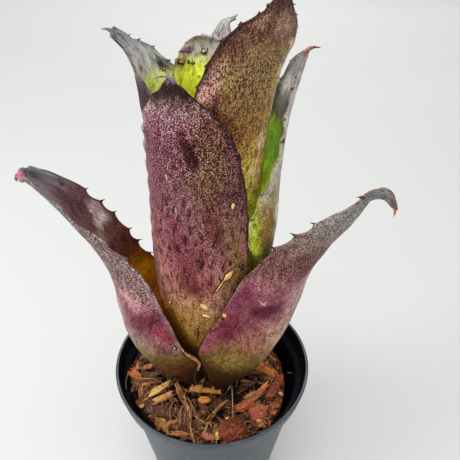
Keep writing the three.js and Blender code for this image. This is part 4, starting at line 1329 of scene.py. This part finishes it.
# Chips that the photograph shows plainly: place (x, y, height over the medium), size, angles, tint
NAMED_CHIPS = [
    ((-34.2, -2.0, 1.6), (5.4, 2.8, 1.8), (24, 8, 10), (190, 118, 88)),
    ((-32.0, -7.5, 0.8), (9.5, 5, 3.2), (4, -4, 16), (74, 46, 36)),
    ((-27.4, -16.6, 2.6), (10.5, 3.0, 1.7), (34, -6, 20), (222, 172, 96)),
    ((-23.6, -20.2, 2.2), (10, 3.6, 2.2), (36, 6, -15), (226, 156, 96)),
    ((-27.6, -21.6, 1.0), (8, 3.4, 2), (16, 10, 25), (136, 78, 50)),
    ((-25.4, -28.0, 1.0), (11.5, 6.4, 5), (-10, 4, 8), (92, 56, 44)),
    ((-33.5, -21.5, 0.6), (7, 4, 3), (60, 8, 12), (96, 54, 36)),
    ((-22.0, -35.2, 1.6), (5.2, 3.0, 1.6), (-34, 12, 10), (176, 122, 54)),
    ((-25.2, -33.0, 1.2), (4.6, 2.4, 1.8), (-50, 14, -20), (150, 98, 46)),
    ((-14.6, -38.4, 1.4), (6.2, 2.8, 1.8), (-12, 6, -10), (184, 108, 76)),
    ((-4.4, -22.2, 1.2), (8, 2.4, 1.8), (118, 10, 20), (110, 66, 44)),
    ((2.8, -24.4, 2.2), (11.5, 1.5, 1.3), (44, -8, 12), (176, 122, 80)),
    ((23.4, -23.7, 1.6), (8.5, 7.6, 5), (16, 10, 20), (172, 92, 66)),
    ((19.6, -17.2, 2.2), (13, 3.4, 2.4), (38, -10, 15), (172, 106, 72)),
    ((24.9, -12.0, 2.8), (11.5, 2.8, 2), (44, -6, -20), (206, 120, 58)),
    ((15.5, -21.0, 1.4), (10, 3.8, 2.4), (30, 4, -12), (178, 88, 56)),
    ((21.0, -13.4, 2.6), (9, 1.6, 1.2), (40, 10, 12), (214, 140, 78)),
    ((28.4, 3.2, 2.2), (11, 4, 2.6), (-24, 8, 12), (208, 130, 66)),
    ((23.5, 7.5, 2.4), (9, 3.4, 2.2), (-40, -12, 10), (190, 106, 56)),
    ((37.6, -1.6, 2.0), (7.5, 3.4, 2.8), (84, 10, 60), (150, 66, 40)),
    ((31.5, -9.5, 1.2), (12, 4, 2.6), (70, 8, 30), (150, 74, 42)),
    ((33.5, -17.0, 0.8), (10, 3.8, 2.6), (56, 12, 10), (164, 84, 46)),
    ((-0.6, -38.6, 1.8), (4.6, 3.4, 1.8), (-30, 8, -10), (196, 118, 84)),
    ((-38.5, -12.0, 0.8), (8, 3, 2.2), (80, 6, 12), (100, 56, 38)),
    ((5.0, -20.0, 0.6), (10, 5, 2.6), (10, 8, 10), (70, 34, 22)),
]

# Splinters that stand on end: foot (x, y), top (x, y, height over the medium), half width, tint
SPLINTERS = [
    ((-12.4, -38.0), (-11.8, -22.4, 6.5), 0.7, (150, 98, 72)),
    ((-14.6, -35.5), (-14.2, -26.0, 6.0), 0.6, (176, 122, 92)),
    ((-10.8, -36.0), (-10.6, -27.0, 6.5), 0.8, (118, 74, 58)),
    ((-9.2, -35.0), (-9.4, -26.0, 5.5), 0.6, (158, 108, 84)),
    ((-3.4, -33.5), (-11.6, -21.0, 6.0), 0.9, (164, 112, 74)),
    ((-4.6, -35.5), (-8.0, -26.0, 5.0), 0.6, (126, 80, 58)),
    ((-16.4, -33.0), (-15.6, -27.0, 4.5), 0.7, (104, 62, 44)),
    ((-7.0, -41.0), (-9.8, -34.0, 5.0), 0.6, (206, 162, 100)),
    ((-12.6, -24.0), (-13.4, -18.6, 4.5), 0.8, (196, 150, 92)),
    ((-2.6, -31.5), (5.6, -23.0, 5.0), 0.7, (128, 84, 56)),
    ((-3.4, -37.6), (-0.6, -32.6, 5.0), 0.7, (204, 158, 92)),
    ((3.0, -37.4), (-0.6, -32.6, 5.0), 0.8, (188, 138, 82)),
    ((-3.2, -37.2), (-1.8, -35.0, 2.4), 1.2, (170, 116, 66)),
]

# Single fibres, each through three points (x, y, height over the medium), with a radius and a tint
NAMED_FIBRES = [
    ((10.2, -10.8, 5.0), (10.8, -19.0, 5.5), (10.9, -28.0, 2.0), 0.32, (226, 188, 132)),
    ((8.4, -12.8, 3.4), (9.0, -14.0, 8.0), (12.9, -9.3, 7.6), 0.5, (214, 176, 136)),
    ((12.9, -9.3, 7.6), (13.6, -8.6, 7.2), (12.4, -11.4, 5.0), 0.4, (222, 190, 150)),
    ((-36.0, -10.5, 2.6), (-30.0, -9.6, 3.2), (-25.0, -11.6, 2.6), 0.3, (206, 168, 116)),
    ((-34.0, -19.0, 1.6), (-37.5, -13.6, 3.4), (-29.0, -12.6, 3.2), 0.34, (208, 168, 112)),
    ((-33.2, -20.6, 1.8), (-30.0, -15.0, 4.0), (-24.5, -13.0, 2.8), 0.26, (190, 146, 96)),
    ((40.5, 2.2, 3.0), (43.0, 2.4, 3.2), (45.2, 1.6, 3.0), 0.22, (214, 170, 120)),
    ((-43.0, -6.0, 1.6), (-44.6, -11.0, 2.4), (-42.6, -17.0, 1.4), 0.26, (170, 126, 84)),
    ((-41.5, -4.0, 2.0), (-43.8, -9.0, 3.2), (-43.6, -14.0, 1.2), 0.18, (120, 84, 56)),
    ((22.0, -28.5, 2.2), (27.0, -31.5, 4.4), (30.0, -27.0, 1.8), 0.28, (206, 118, 56)),
    ((24.0, -31.5, 1.8), (28.5, -28.0, 4.0), (31.0, -31.0, 1.6), 0.24, (186, 100, 48)),
    ((26.0, -26.0, 2.4), (30.5, -27.5, 4.2), (28.0, -32.0, 1.6), 0.24, (214, 134, 70)),
    ((14.0, 1.0, 7.0), (20.0, 4.0, 9.0), (26.0, 10.0, 6.0), 0.24, (196, 150, 96)),
    ((-20.0, -39.0, 1.6), (-14.0, -40.5, 3.4), (-8.0, -38.0, 1.6), 0.3, (206, 160, 104)),
    ((-18.0, -22.0, 3.4), (-22.0, -30.0, 4.4), (-16.0, -36.0, 2.0), 0.28, (190, 150, 100)),
    ((-7.6, -30.0, 4.4), (-4.0, -33.4, 4.6), (1.0, -33.0, 3.0), 0.3, (206, 164, 104)),
    ((18.0, -34.0, 2.2), (22.0, -36.0, 3.6), (26.0, -33.0, 1.8), 0.24, (196, 124, 68)),
]
# The lump of husk at the front and a curled fibre: places are (x, y, height over the medium)
HUSK_CENTRE = (10.2, -34.4, 1.4)
HUSK_SIZE = (6.8, 6.2, 4.4)
HUSK_COLOUR = (140, 60, 38)
BRISTLE_TINTS = ((172, 78, 48), (206, 114, 66), (112, 48, 30))
CURL_CENTRE = (-18.3, -22.5, 3.4)
CURL_RADIUS = 1.3
CURL_COLOUR = (170, 120, 84)
EDGE_FIBRE_TINTS = ((184, 98, 52), (150, 70, 40), (206, 128, 74))

# The stub of an old leaf in front of the plant: its body through three places (x, y, height over the
# medium), the y and height of its teeth's feet, and the teeth: (x, half width, lean, lift)
OLD_LEAF = ((-11.2, -14.6, 2.0), (-2.6, -14.6, 5.4), (4.9, -14.4, 2.2))
OLD_LEAF_COLOUR = (240, 158, 70)
TEETH_FOOT = (-15.0, 2.6)
TEETH = ((-7.6, 2.6, 4.2, 9.4), (-10.2, 1.3, 0.8, 4.8), (0.4, 1.2, 0.8, 6.0), (3.6, 0.9, 1.6, 5.6))
TEETH_COLOUR = (250, 176, 92)
PEBBLE_CENTRE = (-3.4, -19.4, 2.4)
PEBBLE_SIZE = (3.3, 1.9, 1.7)
PEBBLE_COLOUR = (250, 160, 64)


def above(point):
    """A place given by its height over the medium."""
    x, y, rise = point
    return np.array([x, y, medium_level(x) + rise])


def scatter(random, a, inner, span, inset):
    """The x and y of a place in direction a, random in radius and inside the medium's edge."""
    edge = float(plug_radius(a, EDGE_LEVEL)) - inset
    r = min(inner + span * math.sqrt(random.uniform(0, 1)), edge)
    return r * math.cos(a), r * math.sin(a)


def held_in(points, limit):
    """Draws points in towards the axis where they lie past the limit."""
    points[:, :2] *= np.minimum(1, limit / np.hypot(points[:, 0], points[:, 1]))[:, None]


def add_band(parts, points, ups, widths, heights, tint, sides=8):
    verts, quads, caps = strip(points, ups, widths, heights, sides)
    parts.add(verts, quads, caps, tint=rgba(tint), grain=verts)


def place_loose(name, parts, material, smooth=True):
    mesh = parts.mesh(name, {"tint": 4, "grain": 3}, smooth)
    mesh.materials.append(material)
    place(name, mesh, None)


def chip_shape(size, random):
    """A splintered block: rings along its length with ridged sides and torn ends."""
    rings = 9
    sides = 12
    turn = np.linspace(0, 2 * np.pi, sides, endpoint=False)
    square = np.stack([np.sign(np.cos(turn)) * np.abs(np.cos(turn)) ** 0.25,
                       np.sign(np.sin(turn)) * np.abs(np.sin(turn)) ** 0.25], 1)
    verts = []
    lean = random.uniform(-0.3, 0.3, 2)
    ridges = random.uniform(0.72, 1.1, sides)
    torn = random.uniform(-0.32, 0.32, (2, sides)) * size[0]
    for f in np.linspace(-1, 1, rings):
        girth = (1 - 0.3 * abs(f) ** 3) * ridges * random.uniform(0.8, 1.15, sides)
        x = f * size[0] / 2 + torn[0] * max(0, -f) ** 3 + torn[1] * max(0, f) ** 3
        y = square[:, 0] * girth * size[1] / 2 + lean[0] * f * size[1]
        z = square[:, 1] * girth * size[2] / 2 + lean[1] * f * f * size[1]
        verts.append(np.stack([x, y, z], 1))
    return np.concatenate(verts), ring_quads(rings, sides), ring_caps(rings, sides)


def add_chip(parts, at, size, angles, tint, random):
    verts, quads, caps = chip_shape(size, random)
    grain = verts + random.uniform(0, 500, 3)
    yaw, pitch, roll = (math.radians(angle) for angle in angles)
    spin = np.array(Euler((roll, pitch, yaw)).to_matrix())
    colour = linear(np.array(tint) * random.uniform(0.95, 1.25))
    verts = verts @ spin.T + at
    height = verts[:, 2]
    edge = plug_radius(np.arctan2(verts[:, 1], verts[:, 0]), height) + 0.3
    held_in(verts, np.minimum(edge, wall_inside(height) - WALL_CLEARANCE))
    parts.add(verts, quads, caps, tint=(*colour, 1), grain=grain)


def add_fibre(parts, points, radius, tint, flat=1.0, sides=5):
    radii = radius * (1 - 0.6 * np.linspace(0, 1, len(points)))
    add_band(parts, points, (0.2, -0.3, 0.93), radii, flat * radii, tint, sides)


def add_strewn_chips(parts, random):
    """Chips of many sizes, turned and tilted at random."""
    for i in range(CHIP_COUNT):
        a = GOLDEN_ANGLE * i + random.uniform(-0.3, 0.3)
        x, y = scatter(random, a, *CHIP_RING)
        big = random.uniform(0, 1) ** 2
        growth = np.array(CHIP_GROWTH) * big * (1, random.uniform(0.5, 1), 1)
        yaw = random.uniform(0, 360)
        angles = (yaw, random.uniform(-CHIP_TILT, CHIP_TILT), random.uniform(-CHIP_ROLL, CHIP_ROLL))
        tint = CHIP_TINTS[random.integers(len(CHIP_TINTS))]
        rise = random.uniform(-1.0, 0.8)
        # Chips lying lower are painted darker and higher ones lighter: painted shade in the hollows and
        # painted light on the tops
        tint = (0.92 + 0.6 * rise) * np.array(tint)
        add_chip(parts, above((x, y, rise)), CHIP_SMALLEST + growth, angles, tint, random)


def add_splinters(parts, random):
    for (x, y), top, width, tint in SPLINTERS:
        f = np.linspace(0, 1, 9)
        foot = above((x, y, -1.0))
        points = foot + f[:, None] * (above(top) - foot) + random.uniform(-0.25, 0.25, (9, 3))
        widths = width * (1 - 0.75 * f ** 2) * random.uniform(0.8, 1.2, 9)
        verts, quads, caps = strip(points, (0.1, -0.9, 0.4), widths, 0.4 * widths)
        parts.add(verts, quads, caps, tint=rgba(tint), grain=verts[:, [2, 0, 1]])


def make_chips(material):
    random = np.random.default_rng(CHIP_SEED)
    parts = Pieces()
    for where, size, angles, tint in NAMED_CHIPS:
        add_chip(parts, above(where), size, angles, tint, random)
    add_strewn_chips(parts, random)
    add_splinters(parts, random)
    place_loose("bark_chips", parts, material, smooth=False)


def lump(parts, centre, size, tint, roughness, seed):
    """A rounded uneven lump, as rings from its foot to its top."""
    random = np.random.default_rng(seed)
    rings = 15
    sides = 26
    turn = np.linspace(0, 2 * np.pi, sides, endpoint=False)
    rows = []
    for lift in np.linspace(-0.98, 0.98, rings):
        girth = math.sqrt(1 - lift * lift) * (1 + roughness * random.uniform(-1, 1, sides))
        rows.append(around(girth, turn, lift) * size)
    verts = np.concatenate(rows) + centre
    parts.add(verts, ring_quads(rings, sides), ring_caps(rings, sides), tint=rgba(tint), grain=verts)


def make_leaf_base(material):
    """The torn stub of an old leaf in front of the plant, and the smooth pebble of bark beside it."""
    parts = Pieces()
    f = np.linspace(-1, 1, 16)
    random = np.random.default_rng(OLD_LEAF_SEED)
    widths = 1.5 * (1 - 0.6 * f ** 2) * random.uniform(0.7, 1.2, 16)
    add_band(parts, bend(*map(above, OLD_LEAF), 16), (0, -0.75, 0.66), widths, 0.5, OLD_LEAF_COLOUR, 10)
    for x, width, lean, lift in TEETH:
        foot = above((x, *TEETH_FOOT))
        tooth = bend(foot, foot + (0.4 * lean, 0.9, 0.6 * lift - 1), foot + (lean, 2.6, lift - 1.6), 10)
        widths = width * np.linspace(1, 0.04, 10)
        add_band(parts, tooth, (0.1, -0.8, 0.6), widths, 0.3 * widths + 0.05, TEETH_COLOUR, 10)
    lump(parts, above(PEBBLE_CENTRE), PEBBLE_SIZE, PEBBLE_COLOUR, 0.05, PEBBLE_SEED)
    place_loose("old_leaf_base", parts, material)


def make_husk(material):
    """The bristly lump of husk at the front."""
    random = np.random.default_rng(CHIP_SEED + 1)
    parts = Pieces()
    centre = above(HUSK_CENTRE)
    size = np.array(HUSK_SIZE)
    lump(parts, centre, size, HUSK_COLOUR, 0.12, HUSK_SEED)
    for i in range(BRISTLE_COUNT):
        d = unit(random.normal(size=3) + (0, -0.2, 0.8))
        root = centre + 0.9 * size * d
        side = unit(np.cross(d, random.normal(size=3)))
        length = random.uniform(1.8, 4.2)
        middle = root + 0.5 * length * (0.7 * d + 0.7 * side)
        points = bend(root, middle, root + length * (0.2 * d + side), 6)
        add_fibre(parts, points, random.uniform(0.14, 0.3), BRISTLE_TINTS[i % 3])
    place_loose("husk_lump", parts, material)


def loose_path(random, x, y, length, climb):
    """A wandering fibre that starts at (x, y) and arches over the medium."""
    f = np.linspace(0, 1, 7)
    bearing = random.uniform(0, 2 * math.pi) + random.uniform(-2.2, 2.2) * f
    step = length / 6
    rise = climb * length * np.sin(f * 2.4)
    path = np.stack([np.cumsum(np.cos(bearing)) * step, np.cumsum(np.sin(bearing)) * step, rise], 1)
    path += above((x, y, random.uniform(-0.6, 1.6)))
    held_in(path, plug_radius(np.arctan2(path[:, 1], path[:, 0]), EDGE_LEVEL) - 0.5)
    return path


def add_wandering(parts, random):
    """Thin fibres strewn over the medium."""
    for _ in range(FIBRE_COUNT):
        x, y = scatter(random, random.uniform(0, 2 * math.pi), *FIBRE_RING)
        path = loose_path(random, x, y, random.uniform(2.5, 10), random.uniform(-0.1, 0.4))
        radius = random.uniform(0.1, 0.3)
        add_fibre(parts, path, radius, FIBRE_TINTS[random.integers(len(FIBRE_TINTS))])


def add_slivers(parts, random):
    """Short flat slivers of husk."""
    for _ in range(SLIVER_COUNT):
        x, y = scatter(random, random.uniform(0, 2 * math.pi), *SLIVER_RING)
        start = above((x, y, random.uniform(0.2, 1.8)))
        d = unit(random.normal(size=3) * (1, 1, 0.45)) * random.uniform(1.2, 3.6)
        tint = np.array(FIBRE_TINTS[random.integers(len(FIBRE_TINTS))]) * random.uniform(0.6, 1.1)
        path = bend(start - d, start + 0.1 * d, start + d, 5)
        add_fibre(parts, path, random.uniform(0.25, 0.6), tint, 0.5)


def add_edge_fibres(parts, random):
    """Fibres that hang down the side of the plug where it has shrunk from the wall."""
    for i in range(EDGE_FIBRE_COUNT):
        a = random.uniform(-0.9, 0.7)
        drop = np.linspace(0, 1, 7) * random.uniform(3, 9)
        x = MEDIUM_REACH * math.cos(a)
        z = medium_level(x) + random.uniform(-2, 1) - drop
        r = plug_radius(a, z) + random.uniform(-0.2, 0.5)
        path = around(r, a + random.uniform(-0.05, 0.05) * drop / 4, z)
        add_fibre(parts, path, random.uniform(0.2, 0.5), EDGE_FIBRE_TINTS[i % 3])


def make_fibres(material):
    random = np.random.default_rng(FIBRE_SEED)
    parts = Pieces()
    for a, b, c, radius, tint in NAMED_FIBRES:
        add_fibre(parts, bend(above(a), above(b), above(c), 14), radius, tint, sides=6)
    turn = np.linspace(0, 1.7 * np.pi, 14)
    curl = above(CURL_CENTRE) + CURL_RADIUS * np.stack([np.cos(turn), np.sin(turn), 0.2 * turn], 1)
    add_fibre(parts, curl, 0.4, CURL_COLOUR, sides=6)
    add_wandering(parts, random)
    add_slivers(parts, random)
    add_edge_fibres(parts, random)
    place_loose("husk_fibres", parts, material)


# Stage


def make_floor():
    size = FLOOR_SIZE * MM
    mesh = bpy.data.meshes.new("floor")
    corners = [(-size, -size, 0), (size, -size, 0), (size, size, 0), (-size, size, 0)]
    mesh.from_pydata(corners, [], [(0, 1, 2, 3)])
    mesh.materials.append(floor_material())
    floor = bpy.data.objects.new("floor", mesh)
    bpy.context.scene.collection.objects.link(floor)


def add_light(name, where, size, power):
    light = bpy.data.lights.new(name, "AREA")
    light.size = size * MM
    light.energy = power
    lamp = bpy.data.objects.new(name, light)
    bpy.context.scene.collection.objects.link(lamp)
    lamp.location = [v * MM for v in where]
    aim = Vector(LIGHT_AIM) - Vector(where)
    lamp.rotation_euler = aim.to_track_quat("-Z", "Y").to_euler()


def make_light():
    for name, (where, size, power) in LIGHTS.items():
        add_light(name, where, size, power)
    world = bpy.data.worlds.new("studio")
    world.use_nodes = True
    background = world.node_tree.nodes["Background"]
    background.inputs["Color"].default_value = (1, 1, 1, 1)
    background.inputs["Strength"].default_value = SKY
    bpy.context.scene.world = world
    bpy.context.scene.view_settings.view_transform = "Standard"


def make_camera():
    pitch = math.radians(CAMERA_PITCH)
    roll = math.radians(CAMERA_ROLL)
    ahead = np.array([0, math.cos(pitch), -math.sin(pitch)])
    right = np.array([1.0, 0, 0])
    up = np.cross(right, ahead)
    right_rolled = math.cos(roll) * right + math.sin(roll) * up
    up_rolled = -math.sin(roll) * right + math.cos(roll) * up
    axes = np.stack([right_rolled, up_rolled, -ahead], 1)
    data = bpy.data.cameras.new("camera")
    data.lens = CAMERA_LENS
    data.sensor_width = SENSOR
    data.clip_start = CLIP_NEAR
    data.clip_end = CLIP_FAR
    camera = bpy.data.objects.new("camera", data)
    bpy.context.scene.collection.objects.link(camera)
    moved = Matrix.Translation([v * MM for v in CAMERA_PLACE])
    camera.matrix_world = moved @ Matrix(axes.tolist()).to_4x4()
    bpy.context.scene.camera = camera


def main():
    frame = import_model()
    make_camera()
    make_light()
    make_floor()
    leaf = leaf_material()
    for seed, name in enumerate(STATIONS, start=1):
        make_leaf(name, seed).data.materials.append(leaf)
    pot = make_pot()
    make_pot_floor(pot.data.materials[0])
    make_plug()
    bark = bark_material()
    make_chips(bark)
    make_leaf_base(bark)
    make_husk(bark)
    make_fibres(bark)
    stem = frame["nodes"]["stem"]
    stem.data.materials.clear()
    stem.data.materials.append(stem_material())


main()
